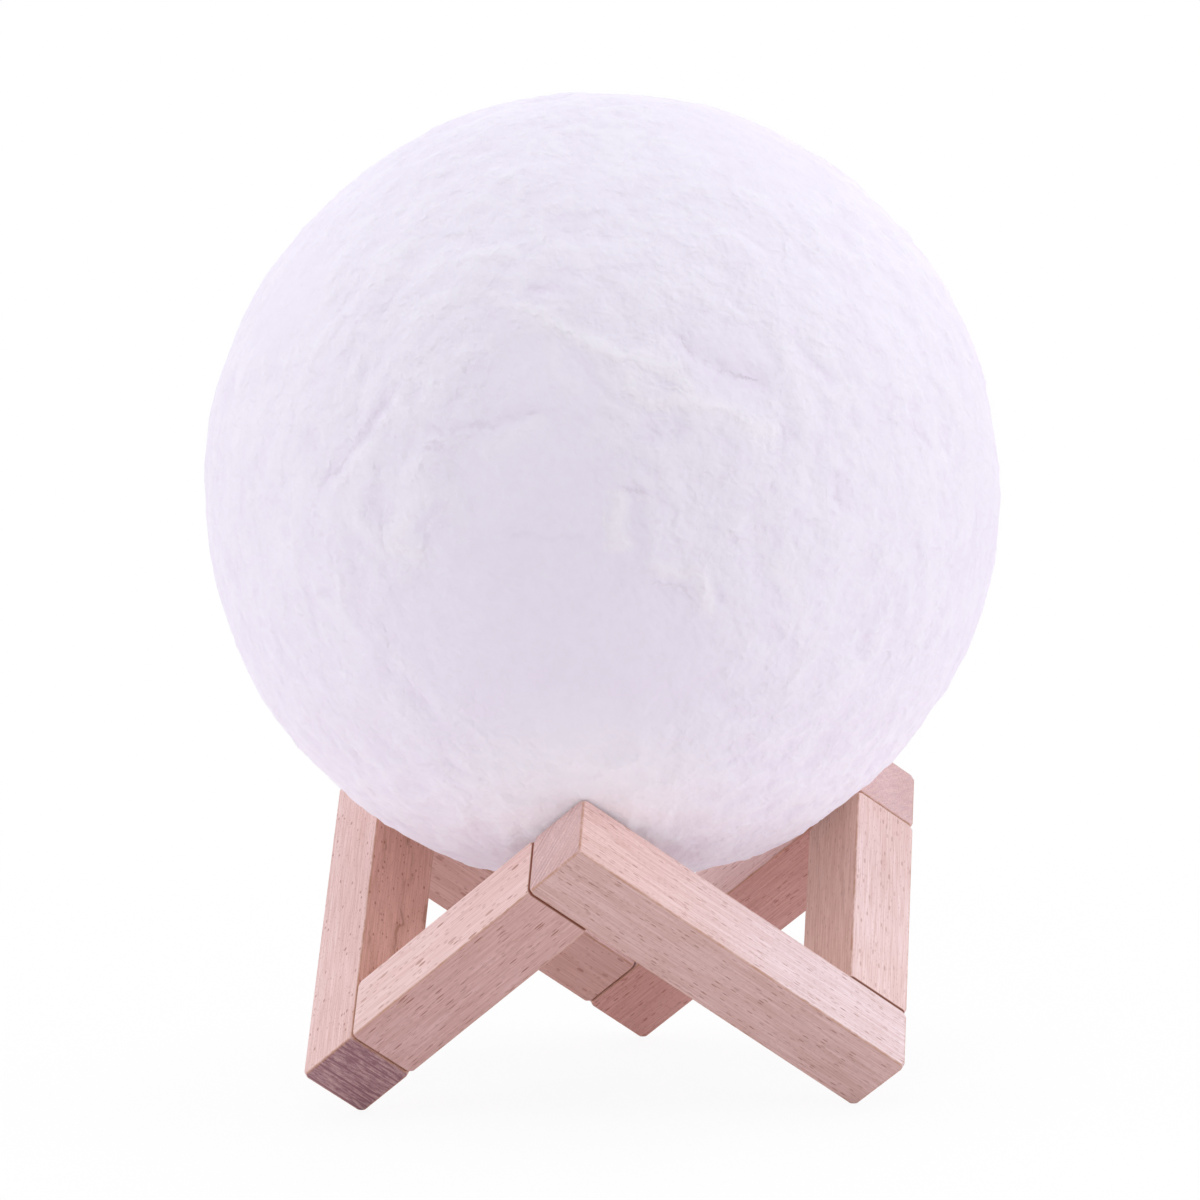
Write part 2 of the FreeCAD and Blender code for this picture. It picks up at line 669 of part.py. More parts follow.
def charging_light():
    """Small light under the board and the clear pipe that shows it."""
    block("charge_indicator", "indicator_side", "indicator_depth", "indicator_height", "pipe_place", 0,
          "indicator_bottom")
    pipe = new_body("light_pipe")
    turned(pipe, [
        (0, 0),
        ("pipe_radius", 0),
        ("pipe_radius", "face_thickness"),
        ("pipe_radius + pipe_lip", "face_thickness"),
        ("pipe_radius + pipe_lip", "face_thickness + pipe_lip"),
        ("pipe_radius", "face_thickness + pipe_lip"),
        ("pipe_radius", "indicator_bottom - fit_gap"),
        (0, "indicator_bottom - fit_gap"),
    ])
    hand_in(pipe, x="pipe_place")


def switch_and_button():
    """Push switch under the board, its plunger, and the button over it."""
    body = new_body("switch_body")
    add_box(body, "SwitchBlock", "switch_side", "switch_side", "switch_height", 0, 0, "switch_bottom")
    well = "plunger_depth + button_travel + plunger_gap"
    add_round(body, "SwitchWell", "plunger_radius + plunger_gap", well, 0, 0, "switch_bottom", cut=True)
    hand_in(body)
    plunger = new_body("switch_plunger")
    add_round(plunger, "PlungerPin", "plunger_radius", "plunger_reach + plunger_depth", 0, 0, "lip_top")
    hand_in(plunger)
    button = new_body("power_button")
    turned(button, [
        (0, "button_recess"),
        ("button_radius", "button_recess"),
        ("button_radius", "lip_bottom"),
        ("lip_radius", "lip_bottom"),
        ("lip_radius", "lip_top"),
        (0, "lip_top"),
    ])
    hand_in(button)


def lights():
    """Round board with a ring of lights, each with its round window."""
    board = new_body("light_board")
    add_round(board, "LightDisc", "light_board_radius", "light_board_thickness", 0, 0, "light_board_bottom")
    for number, (x, y) in enumerate(ring("small_screw_circle", 2), 1):
        add_round(board, f"LightHole{number}", "small_screw_radius + thread_gap", "light_board_thickness",
                  x, y, "light_board_bottom", cut=True)
    hand_in(board)
    packages = []
    lenses = []
    for number in range(6):
        turn = Rotation(Vector(0, 0, 1), 60 * number)
        package = doc.addObject("Part::Box", f"light_packages_{number}")
        bind(package, Length="light_side", Width="light_side", Height="light_height")
        place(package, "light_ring_radius - light_side / 2", "-light_side / 2", "light_board_top")
        spoke = group(f"LightSpoke{number}", [package])
        spoke.Placement = FreeCAD.Placement(Vector(), turn)
        packages.append(spoke)
    for number, (x, y) in enumerate(ring("light_ring_radius", 6, first_angle=0)):
        lens = doc.addObject("Part::Cylinder", f"light_lenses_{number}")
        bind(lens, Radius="lens_radius", Height="lens_height")
        place(lens, x, y, "light_top")
        lenses.append(lens)
    hand_in(group("light_packages", packages))
    hand_in(group("light_lenses", lenses))


def small_parts():
    """Chips, capacitors and resistors on the main board."""
    block("control_chip", "control_chip_width", "control_chip_depth", "control_chip_height",
          "chip_x", "chip_y", "board_top")
    block("charge_chip", "charge_chip_width", "charge_chip_depth", "charge_chip_height",
          "-charger_x", "-charger_y", "board_top")
    row = "-(charger_y + charge_chip_depth / 2 + part_gap"
    block_group("capacitors", "capacitor_width", "capacitor_depth", "capacitor_height", [
        (f"-part_gap - {step} * (capacitor_width + part_gap)", f"{row} + capacitor_depth / 2)")
        for step in range(3)
    ], "board_top")
    row = "chip_y + control_chip_depth / 2 + part_gap / 2 + resistor_depth / 2"
    block_group("resistors", "resistor_width", "resistor_depth", "resistor_height", [
        (f"chip_x - part_gap + {step} * (resistor_width + part_gap / 2)", row)
        for step in range(3)
    ], "board_top")


def check_everything():
    """Stop on a failed object or an invalid shape."""
    doc.recompute()
    for thing in doc.Objects:
        if "Invalid" in thing.State or "Error" in thing.State:
            raise RuntimeError(f"{thing.Name}: {thing.State}")
    for node in nodes:
        if node.Shape.isNull() or not node.Shape.isValid():
            raise RuntimeError(f"{node.Label}: bad shape")


fill_sheet("Sizes", [(name, f"{number:g}", note) for name, number, note in SIZES])
fill_sheet("Derived", [(name, "=" + refer(formula).replace("Derived.", ""), "") for name, formula in DERIVED])
fill_sheet("Scratch", [])

for third, name in enumerate(("left_stick", "front_right_stick", "rear_right_stick")):
    long_stick(name, third)
for third, name in enumerate(("front_left_stick", "right_stick", "rear_left_stick")):
    short_stick(name, third)
dowels()

moon_shell()
base_cap()
lamp_housing()
screws("housing_screws", ring("leg_circle", 3), "screw_head_radius", "screw_head_height",
       "screw_radius", "screw_length", "screw_seat", up=True)
main_board()
battery()
wire_socket("battery_socket", "socket_x", "-socket_y")
wire_plug("battery_plug", "socket_x", "-socket_y")
battery_wire("battery_wire_black", -1)
battery_wire("battery_wire_red", 1)
wire_socket("light_socket", "-socket_x", "socket_y")
wire_plug("light_plug", "-socket_x", "socket_y")
light_wires()
small_parts()
charging_socket()
charging_light()
switch_and_button()
lights()
screws("light_board_screws", ring("small_screw_circle", 2), "small_head_radius", "small_head_height",
       "small_screw_radius", "small_screw_length", "light_board_top", up=False)

check_everything()
os.makedirs("parts", exist_ok=True)
for node in nodes:
    node.Shape.exportStep(f"parts/{node.Label}.step")
print(f"{len(nodes)} pieces, globe centre {value('globe_height'):.2f}, cap face {value('face_height'):.2f}")
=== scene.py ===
"""Looks of the moon lamp: a printed moon globe resting on six beech sticks.

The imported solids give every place. The globe's shell and the six sticks are
made anew here with relief, eased corners and open joints, and every other
solid keeps its shape and only gets its finish. Lengths are metres unless a
name or a docstring says millimetres.
"""

import logging
import math
import random
from dataclasses import dataclass, field
from enum import Enum

import bmesh
import bpy
import numpy as np
from mathutils import Matrix, Vector


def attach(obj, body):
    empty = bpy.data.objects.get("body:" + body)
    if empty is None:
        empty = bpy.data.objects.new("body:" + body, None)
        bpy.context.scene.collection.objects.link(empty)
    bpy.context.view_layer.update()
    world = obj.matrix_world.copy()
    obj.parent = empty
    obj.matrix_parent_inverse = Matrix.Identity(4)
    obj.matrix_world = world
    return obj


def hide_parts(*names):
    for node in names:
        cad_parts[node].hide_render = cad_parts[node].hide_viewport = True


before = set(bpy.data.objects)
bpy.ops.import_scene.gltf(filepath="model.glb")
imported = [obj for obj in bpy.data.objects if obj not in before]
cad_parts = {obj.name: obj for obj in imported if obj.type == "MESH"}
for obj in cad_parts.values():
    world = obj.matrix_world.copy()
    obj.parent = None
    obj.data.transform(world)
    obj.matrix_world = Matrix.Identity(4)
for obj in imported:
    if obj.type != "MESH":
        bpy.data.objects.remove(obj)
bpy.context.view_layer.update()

MM = 0.001
WHITE = (1.0, 1.0, 1.0)
Colour = tuple[float, float, float]
Point = tuple[float, float, float]
log = logging.getLogger("moon_lamp")


# ---------------------------------------------------------------- helpers


def aimed(location: Vector, target: Vector, roll: float = 0.0) -> Matrix:
    """Turn a camera or lamp at one point towards another.

    Args:
        location: where the camera or lamp stands.
        target: the point that it looks at.
        roll: turn about its own axis, in radians.

    Returns:
        The world matrix of the camera or lamp.
    """
    back = (location - target).normalized()
    right = Vector((0, 0, 1)).cross(back)
    right = right.normalized() if right.length > 1e-6 else Vector((1, 0, 0))
    turned_right = math.cos(roll) * right + math.sin(roll) * back.cross(right)
    turn = Matrix((turned_right, back.cross(turned_right), back)).transposed().to_4x4()
    return Matrix.Translation(location) @ turn


def bearing(degrees: float, rise: float) -> Vector:
    """Direction from a centre.

    Args:
        degrees: bearing round the centre, 0 to the front and 90 to the right.
        rise: degrees above level.

    Returns:
        A unit vector.
    """
    turn, lift = math.radians(degrees), math.radians(rise)
    flat = math.cos(lift)
    return Vector((math.sin(turn) * flat, -math.cos(turn) * flat, math.sin(lift)))


def piece_from(name: str, sheet: bmesh.types.BMesh, sharp_above: float) -> bpy.types.Object:
    """Make a scene object from a finished bmesh.

    Args:
        name: the piece's name.
        sheet: the bmesh, which is freed.
        sharp_above: edges that fold by more than this many degrees stay sharp.

    Returns:
        The object, at the origin, smooth shaded.
    """
    mesh = bpy.data.meshes.new(name)
    sheet.to_mesh(mesh)
    sheet.free()
    mesh.shade_smooth()
    mesh.set_sharp_from_angle(angle=math.radians(sharp_above))
    return linked(name, mesh)


def linked(name: str, data: bpy.types.ID) -> bpy.types.Object:
    """Make an object of a mesh, lamp or camera and put it in the scene.

    Args:
        name: the object's name.
        data: what it shows.

    Returns:
        The object.
    """
    thing = bpy.data.objects.new(name, data)
    bpy.context.scene.collection.objects.link(thing)
    return thing


def smooth_step(value: np.ndarray, low: float, high: float) -> np.ndarray:
    """Smooth ramp from 0 at low to 1 at high."""
    ramp = np.clip((value - low) / (high - low), 0.0, 1.0)
    return ramp * ramp * (3.0 - 2.0 * ramp)


# --------------------------------------------------------------- finishes


class Blend(Enum):
    """How two colours are laid over each other."""

    MIX = "MIX"
    MULTIPLY = "MULTIPLY"


class Value:
    """One output in a node tree; each call on it adds the node that it names."""

    def __init__(self, bench: "NodeBench", socket: bpy.types.NodeSocket) -> None:
        """Keep the output and its tree."""
        self.bench, self.socket = bench, socket

    def out(self, name: str) -> "Value":
        """Another output of the same node."""
        return Value(self.bench, self.socket.node.outputs[name])

    def _maths(self, kind: str, *numbers: object) -> "Value":
        """Result of one Math node."""
        return self.bench.add("Math", dict(enumerate(numbers)), operation=kind)

    def __add__(self, other: object) -> "Value":
        """This number plus another."""
        return self._maths("ADD", self, other)

    def __sub__(self, other: object) -> "Value":
        """This number less another."""
        return self._maths("SUBTRACT", self, other)

    def __rsub__(self, other: float) -> "Value":
        """Another number less this one."""
        return self._maths("SUBTRACT", other, self)

    def __mul__(self, other: object) -> "Value":
        """This number times another."""
        return self._maths("MULTIPLY", self, other)

    def __truediv__(self, other: object) -> "Value":
        """This number over another."""
        return self._maths("DIVIDE", self, other)

    def __abs__(self) -> "Value":
        """This number without its sign."""
        return self._maths("ABSOLUTE", self)

    def sine(self) -> "Value":
        """The sine of this number."""
        return self._maths("SINE", self)

    def most(self, other: object) -> "Value":
        """The larger of two numbers."""
        return self._maths("MAXIMUM", self, other)

    def least(self, other: object) -> "Value":
        """The smaller of two numbers."""
        return self._maths("MINIMUM", self, other)

    def ramp(self, low: float, high: float, start: float = 0.0, end: float = 1.0) -> "Value":
        """Smooth ramp from start where this number is low to end where it is high."""
        ends = {1: low, 2: high, 3: start, 4: end}
        return self.bench.add("MapRange", {0: self} | ends, interpolation_type="SMOOTHSTEP")

    def between(self, low: object, high: object) -> "Value":
        """Colour that goes from low to high with this number."""
        return self.bench.blend(Blend.MIX, self, low, high)

    def tinted(self, by: object, share: object = 1.0) -> "Value":
        """This colour times another one."""
        return self.bench.blend(Blend.MULTIPLY, share, self, by)

    def scaled(self, by: Point) -> "Value":
        """This vector times three factors."""
        return self.bench.add("VectorMath", {0: self, 1: by}, operation="MULTIPLY")

    def dot(self, way: Point) -> "Value":
        """This vector's share along a fixed direction."""
        return self.bench.add("VectorMath", {0: self, 1: way}, operation="DOT_PRODUCT").out("Value")

    def length(self) -> "Value":
        """This vector's length."""
        return self.bench.add("VectorMath", {0: self}, operation="LENGTH").out("Value")

    def parts(self) -> tuple["Value", ...]:
        """This vector's three numbers."""
        apart = self.bench.add("SeparateXYZ", {0: self})
        return tuple(apart.out(axis) for axis in "XYZ")

    def shifted(self, by: Point, turn: float) -> "Value":
        """This vector turned about its first axis, then moved."""
        moves = {"Vector": self, "Location": by, "Rotation": (turn, 0.0, 0.0)}
        return self.bench.add("Mapping", moves, vector_type="POINT")

    def cloud(
        self, scale: float = 1.0, detail: float = 2.0, rough: float = 0.5, warp: float = 0.0
    ) -> "Value":
        """Soft noise between 0 and 1 at this place.

        Args:
            scale: lumps per unit.
            detail: how many finer layers it has.
            rough: how strong they are.
            warp: how far it is stirred.

        Returns:
            The noise.
        """
        feeds = {"Vector": self, "Scale": scale, "Detail": detail, "Roughness": rough}
        return self.bench.add("TexNoise", feeds | {"Distortion": warp})

    def cells(self, scale: float = 1.0) -> tuple["Value", "Value"]:
        """Distance from this place to the nearest scattered point, and its chance."""
        near = self.bench.add("TexVoronoi", {"Vector": self, "Scale": scale})
        return near, near.out("Color").parts()[0]

    def bands(self, pitch: float, warp: float, warp_scale: float) -> "Value":
        """Stripes across the second axis of this place.

        Args:
            pitch: distance between stripes, in millimetres.
            warp: how far noise bends them.
            warp_scale: how fine that noise is.

        Returns:
            A value between 0 and 1 that climbs slowly and drops sharply.
        """
        feeds = {"Vector": self, "Scale": math.tau / 20.0 / pitch, "Distortion": warp}
        feeds |= {"Detail": 2.0, "Detail Scale": warp_scale}
        waves = self.bench.add("TexWave", feeds, bands_direction="Y", wave_profile="SAW")
        return waves.out("Fac")


class NodeBench:
    """A node tree that is being laid out."""

    def __init__(self, tree: bpy.types.NodeTree, output: str = "OutputMaterial") -> None:
        """Empty the tree and give it an output and the texture coordinates.

        Args:
            tree: the material's or the world's tree.
            output: the type of its output, less the leading ShaderNode.
        """
        self.tree = tree
        tree.nodes.clear()
        self.output = tree.nodes.new("ShaderNode" + output)
        self.place = self.add("TexCoord")

    def feed(self, socket: bpy.types.NodeSocket, value: object) -> None:
        """Join a socket to a value of the tree, or set it to a plain one.

        Args:
            socket: the input.
            value: what goes into it; a plain colour has no alpha.
        """
        if isinstance(value, Value):
            self.tree.links.new(value.socket, socket)
        else:
            socket.default_value = (*value, 1.0) if socket.type == "RGBA" else value

    def add(self, kind: str, feeds: dict | None = None, **traits: object) -> Value:
        """Add a node.

        Args:
            kind: its type, less the leading ShaderNode.
            feeds: what goes into its inputs, by their names or numbers.
            traits: its own settings.

        Returns:
            Its first output.
        """
        node = self.tree.nodes.new("ShaderNode" + kind)
        for name, setting in traits.items():
            setattr(node, name, setting)
        for key, value in (feeds or {}).items():
            self.feed(node.inputs[key], value)
        return Value(self, node.outputs[0])

    def blend(self, way: Blend, share: object, under: object, over: object) -> Value:
        """Lay one colour over another.

        Args:
            way: how they are laid over each other.
            share: how much of the second colour shows.
            under: the first colour.
            over: the second colour.

        Returns:
            The colour.
        """
        feeds = {0: share, 6: under, 7: over}
        mix = self.add("Mix", feeds, data_type="RGBA", blend_type=way.value)
        return Value(self, mix.socket.node.outputs[2])

    def show(self, shader: Value) -> None:
        """Let the tree's output show a shader."""
        self.feed(self.output.inputs["Surface"], shader)


class FinishBench(NodeBench):
    """The node tree of one finish."""

    def __init__(self, name: str) -> None:
        """Start a material with a bare surface shader.

        Args:
            name: the material's name.
        """
        self.material = bpy.data.materials.new(name)
        self.material.use_nodes = True
        super().__init__(self.material.node_tree)
        self.surface = self.add("BsdfPrincipled")
        self.show(self.surface)

    def local(self, centre: Point = (0, 0, 0), turn: Matrix = Matrix.Identity(3)) -> Value:
        """Object coordinates in millimetres from a centre, along turned axes.

        Args:
            centre: the new origin, in metres.
            turn: its columns are the new axes.

        Returns:
            The place.
        """
        feeds = {"Vector": self.place.out("Object"), "Location": centre}
        feeds |= {"Rotation": turn.to_euler("XYZ"), "Scale": (MM, MM, MM)}
        return self.add("Mapping", feeds, vector_type="TEXTURE")

    def raise_by(self, height: Value, depth: float) -> None:
        """Let a height between 0 and 1 stand out of the surface.

        Args:
            height: the height.
            depth: how deep it is, in millimetres.
        """
        normal = self.surface.socket.node.inputs["Normal"]
        under = {"Normal": Value(self, link.from_socket) for link in normal.links}
        feeds = {"Strength": 1.0, "Distance": depth * MM, "Height": height}
        self.feed(normal, self.add("Bump", feeds | under))

    def set(self, **settings: object) -> None:
        """Set or feed the shader's sockets, named with _ for a space."""
        for name, value in settings.items():
            self.feed(self.surface.socket.node.inputs[name.replace("_", " ")], value)


@dataclass(frozen=True)
class Finish:
    """A named finish, which each kind lays out in its own way."""

    name: str

    def make(self) -> bpy.types.Material:
        """Build the finish.

        Returns:
            The material.
        """
        bench = FinishBench(self.name)
        self.lay(bench)
        return bench.material

    def lay(self, bench: FinishBench) -> None:
        """Lay out the finish's nodes."""
        raise NotImplementedError


@dataclass(frozen=True)
class Wood:
    """How one beech board looks.

    Lengths are in millimetres. The shade tint is painted shade on the side
    that lies in shade, and figure is how strongly that side is veined; the
    sheen tint is a painted sheen that pales the other sides towards the foot,
    and board is the tint of all sides. drift is how far the board's colour
    wanders from pale to warm.
    """

    fleck: Point = (3.0, 2.0, 0.44)
    fleck_share: float = 0.55
    fleck_depth: float = 0.45
    ring_pitch: float = 1.9
    ring_depth: float = 0.3
    end_dark: float = 0.35
    end_rings: float = 0.9
    foot_end: float = 0.5
    end_colour: Colour = (0.40, 0.225, 0.235)
    # painted shade on the side that lies in shade
    shade_tint: Colour = (0.93, 0.87, 0.88)
    figure: float = 0.1
    # painted sheen on the other sides, growing towards the foot
    painted_sheen: Colour = WHITE
    board: Colour = WHITE
    pale: Colour = (0.93, 0.695, 0.645)
    warm: Colour = (0.80, 0.53, 0.46)
    drift: float = 0.42
    grain_depth: float = 0.045
    deep_fibre: Colour = (0.85, 0.775, 0.735)
    bright_fibre: Colour = (1.07, 1.11, 1.12)
    fleck_colour: Colour = (0.36, 0.11, 0.045)
    figure_colour: Colour = (0.42, 0.22, 0.14)
    edge_colour: Colour = (0.55, 0.29, 0.17)
    # painted shade in the open joints
    seam_shade_colour: Colour = (0.25, 0.085, 0.05)


@dataclass(frozen=True)
class BeechFinish(Finish):
    """Sanded beech, cut from one board per stick.

    Lengths are in millimetres. The stick's own axes are its grain and its two
    sides; ring_turn turns the first side onto the line across the growth
    rings. The seam shading is how dark the painted shade in the two ends'
    joints is.
    """

    wood: Wood
    centre: Point = (0, 0, 0)
    axes: Matrix = field(default_factory=lambda: Matrix.Identity(3))
    length: float = 60.0
    side: float = 60.0
    ring_turn: float = 0.0
    seed: float = 7.0
    seam_shading: tuple[float, float] = (0.0, 0.0)
    # the way the shaded side faces, which gets the painted shade
    shaded_way: Point = (0, 0, 0)

    def lay(self, bench: FinishBench) -> None:
        """Lay out the wood.

        Args:
            bench: the material's node tree.
        """
        wood, normal = self.wood, bench.place.out("Normal")
        stick = bench.local(self.centre, self.axes)
        board = stick.shifted((self.seed, self.seed * 0.37, self.seed * 0.71), self.ring_turn)
        fibres = board.scaled((0.1, 3.4, 3.4)).cloud(1.0, 4.0, 0.62)
        drift = board.scaled((0.018, 0.09, 0.09)).cloud()
        year = board.scaled((0.01, 0.42, 0.05)).cloud(1.0, 1.0).ramp(0.3, 0.68, 0.15, 1.0)
        late = board.scaled((0.04, 1.0, 0.12)).bands(wood.ring_pitch, 2.6, 0.3)
        late = late.ramp(0.45, 1.0) * year
        ends = abs(normal.dot(tuple(self.axes.col[0]))).ramp(0.6, 0.9)
        # the side that lies in shade: it gets the veins and the painted shade
        inner = normal.dot(self.shaded_way).ramp(0.5, 0.85)
        flecks = self._flecks(board) * ends.ramp(0.0, 1.0, 1.0, 0.25)
        down = stick.parts()[0].ramp(self.length * 0.35, self.length * -0.25)

        tone = drift.ramp(0.3, 0.7).between(wood.pale, wood.warm)
        tone = bench.blend(Blend.MIX, wood.drift, wood.pale, tone)
        tone = tone.tinted(fibres.ramp(0.28, 0.72).between(wood.deep_fibre, wood.bright_fibre))
        tone = (late * wood.ring_depth).between(tone, wood.warm)
        tone = (flecks * wood.fleck_depth).between(tone, wood.fleck_colour).tinted(wood.board)
        tone = (self._veins(board) * (inner * wood.figure)).between(tone, wood.figure_colour)
        # painted shade on the shaded side, and a painted sheen on the other sides towards the foot
        tone = tone.tinted(wood.shade_tint, inner).tinted(wood.painted_sheen, down * (1.0 - inner))
        tone = self._ends(board, stick, ends, late).between(tone, wood.end_colour)
        tone = self._edges(board, stick).between(tone, wood.edge_colour)
        # painted shade in the open joints at the ends
        tone = self._painted_seam_shade(stick).between(tone, wood.seam_shade_colour)
        bench.raise_by(fibres - flecks * 0.7, wood.grain_depth)
        rough = fibres.ramp(0.3, 0.7, 0.62, 0.5)
        bench.set(Base_Color=tone, Roughness=rough, Specular_IOR_Level=0.32, IOR=1.5)

    def _veins(self, board: Value) -> Value:
        """Draw a few long wavering lines, as where a board is cut along its rings.

        Args:
            board: the place in the board.

        Returns:
            How much they show.
        """
        wander = board.scaled((0.1, 0.03, 0.03)).cloud(1.0, 3.0, 0.6) * 9.0
        wave = ((board.parts()[2] + wander) * 0.95).sine()
        shown = board.scaled((0.05, 0.25, 0.25)).cloud().ramp(0.4, 0.56, 0.1, 1.0)
        return wave.ramp(0.9, 1.0).most(wave.ramp(-0.2, 1.0, 0.0, 0.35)) * shown

    def _flecks(self, board: Value) -> Value:
        """Draw the ray flecks: long thin dashes, and a finer sort between them.

        Args:
            board: the place in the board.

        Returns:
            How much they show.
        """
        rare = 1.0 - self.wood.fleck_share
        apart, chance = board.scaled(tuple(1.0 / size for size in self.wood.fleck)).cells()
        dash = apart.ramp(0.29, 0.2) * chance.ramp(rare, rare + 0.04)
        dash *= chance.ramp(0.5, 1.0, 0.6, 1.0)
        apart, chance = board.scaled(tuple(2.3 / size for size in self.wood.fleck)).cells()
        return dash.most(apart.ramp(0.34, 0.18) * chance.ramp(0.3, 0.55, 0.0, 0.55))

    def _ends(self, board: Value, stick: Value, ends: Value, late: Value) -> Value:
        """Darken the end grain, the more so at the foot, with its rings and pores.

        Args:
            board: the place in the board.
            stick: the place in the stick.
            ends: 1 on the end grain.
            late: the dark part of each ring.

        Returns:
            How dark it is.
        """
        foot, reach = stick.parts()[0], self.length
        foot = foot.ramp(reach * -0.4, reach * -0.5, 0.0, self.wood.foot_end)
        pores = board.scaled((0.5, 2.2, 0.45)).cloud(1.0, 3.0, 0.7).ramp(0.3, 0.75)
        lines = (late * self.wood.end_rings).most(pores * 0.5) + 0.3
        return (foot.most(self.wood.end_dark) * lines * ends).least(0.95)

    def _edges(self, board: Value, stick: Value) -> Value:
        """Follow the eased edges with a warm line, patchy in places.

        Args:
            board: the place in the board.
            stick: the place in the stick.

        Returns:
            How warm they are.
        """
        half = self.side / 2
        along, first, second = (abs(part) for part in stick.parts())
        long_edge = first.least(second).ramp(half - 0.5, half - 0.12)
        past = along - (self.length / 2 - half)
        end_edge = past.least(first.most(second)).ramp(half - 0.55, half - 0.12)
        patchy = board.scaled((0.35, 0.8, 0.8)).cloud(1.0, 3.0, 0.6).ramp(0.3, 0.62, 0.25, 0.8)
        return long_edge.most(end_edge) * patchy

    def _painted_seam_shade(self, stick: Value) -> Value:
        """Paint shade into the open joints at the two ends.

        Args:
            stick: the place in the stick.

        Returns:
            How dark the painted shade is.
        """
        near, far = self.length / 2 - 0.42, self.length / 2 - 0.16
        along, (low, high) = stick.parts()[0], self.seam_shading
        return along.ramp(-near, -far, 0.0, low).most(along.ramp(near, far, 0.0, high))


@dataclass(frozen=True)
class MoonFinish(Finish):
    """Matt white printed plastic, a little see-through, with a lilac cast.

    The mesh carries the broad relief and how rough the ground is; the crisp
    crests, creases and grains, which are finer than its cells, are laid here.
    The crests and their banks get painted highlight, the creases, nicks and
    deepest lumps painted shade, and the fine relief is painted lighter where
    it stands up and darker where it sinks.
    Lengths are in millimetres: how far out each kind of lump stands, how wide
    the ridges, their banks and the creases are, how far these lines stray, how
    high they stand, and how deep light goes in.
    """

    centre: Point
    # the fine relief is painted between low and high: darker where it sinks as painted shade,
    # lighter where it stands up
    high: Colour = (0.966, 0.939, 0.998)
    low: Colour = (0.914, 0.870, 0.958)
    # painted shade in creases, nicks and the deepest lumps
    pit: Colour = (0.71, 0.64, 0.67)
    # painted highlight on ridges, their banks and curls
    crest: Colour = (0.986, 0.958, 1.0)
    # painted light round the cradle's tips, over the contact shadow
    painted_tip_light: Colour = (0.99, 0.965, 1.0)
    knoll_depth: float = 1.05
    lump_depth: float = 0.42
    grain_depth: float = 0.1
    layer_depth: float = 0.012
    ridge_width: float = 1.9
    bank_width: float = 3.6
    crease_width: float = 0.95
    stray: float = 4.6
    line_depth: float = 0.2
    light_depth: float = 2.5

    def lay(self, bench: FinishBench) -> None:
        """Lay out the moon's plastic.

        Args:
            bench: the material's node tree.
        """
        ball = bench.local(self.centre)
        rough = self._mark(bench, "rough")
        grains = ball.cloud(1.5, 3.0, 0.62)
        lumps = ball.cloud(0.5, 2.0, 0.55, 0.2)
        knolls = ball.cloud(0.2, 2.0, 0.55, 0.3)
        layers = ball.scaled((0.25, 0.25, 5.0)).cloud(1.0, 1.0)
        jagged = (ball.cloud(0.42, 5.0, 0.7) - 0.5) * self.stray
        broad = knolls.ramp(0.35, 0.62, 0.45, 1.35)
        ridges = self._line(bench, "ridge", jagged, broad * self.ridge_width)
        banks = self._line(bench, "ridge", jagged * 0.6, self.bank_width)
        creases = self._line(bench, "crease", jagged, broad * self.crease_width)
        # painted highlight on ridges and curls
        bright = (ridges * lumps.ramp(0.36, 0.5, 0.5, 1.0)).most(self._curls(ball) * rough * 0.35)
        # painted shade in creases and nicks
        dark = (creases * lumps.ramp(0.38, 0.58, 0.05, 0.38)).most(self._pits(ball) * rough * 0.12)

        # painted shade and light of the fine relief: darker where it sinks, lighter where it stands
        # up
        tone = self._mark(bench, "relief").ramp(0.15, 0.85).between(self.low, self.high)
        tone = ball.cloud(0.06, 3.0, 0.5).ramp(0.35, 0.7, 0.0, 0.2).between(tone, self.low)
        tone = rough.ramp(0.9, 0.2, 0.0, 0.5).between(tone, self.low)
        # painted highlight on the ridges and their banks
        tone = bright.between((banks * 0.45).between(tone, self.crest), self.crest)
        # painted shade where the lumps sink deepest
        tone = (lumps + knolls).ramp(1.15, 0.8, 0.0, 0.05).between(tone, self.pit)
        # painted light round the cradle's tips, over the contact shadow
        tone = self._mark(bench, "tip_light").between(tone, self.painted_tip_light)
        amount = rough.ramp(0.0, 1.0, 0.6, 1.0)
        bench.raise_by(knolls * amount, self.knoll_depth)
        bench.raise_by(lumps * amount, self.lump_depth)
        bench.raise_by(grains * amount, self.grain_depth)
        bench.raise_by(layers, self.layer_depth)
        bench.raise_by(ridges * 0.35 - dark, self.line_depth)
        # the base colour takes the painted shade of the creases and nicks
        bench.set(
            Base_Color=dark.between(tone, self.pit),
            Roughness=0.72,
            Specular_IOR_Level=0.25,
            IOR=1.46,
            Subsurface_Weight=0.35,
            Subsurface_Radius=(1.0, 0.9, 1.0),
            Subsurface_Scale=self.light_depth * MM,
        )

    def _mark(self, bench: FinishBench, name: str) -> Value:
        """What the mesh says at each point under one name."""
        return bench.add("Attribute", attribute_name=name).out("Fac")

    def _line(self, bench: FinishBench, kind: str, jagged: Value, width: object) -> Value:
        """Follow the mesh's ridges or creases.

        Args:
            bench: the material's node tree.
            kind: ridge or crease.
            jagged: how far the line strays, in millimetres.
            width: where it has faded out, in millimetres.

        Returns:
            The line, 0 to about 1.
        """
        away = abs(self._mark(bench, kind) + jagged)
        return (away / width).ramp(1.0, 0.0) * self._mark(bench, kind + "_force")

    def _curls(self, ball: Value) -> Value:
        """Short curled crests, a few millimetres long, laid only as painted highlight."""
        thin = abs(ball.cloud(0.2, 3.0, 0.6, 0.8) - 0.5).ramp(0.05, 0.0)
        return thin * ball.cloud(0.13).ramp(0.5, 0.62)

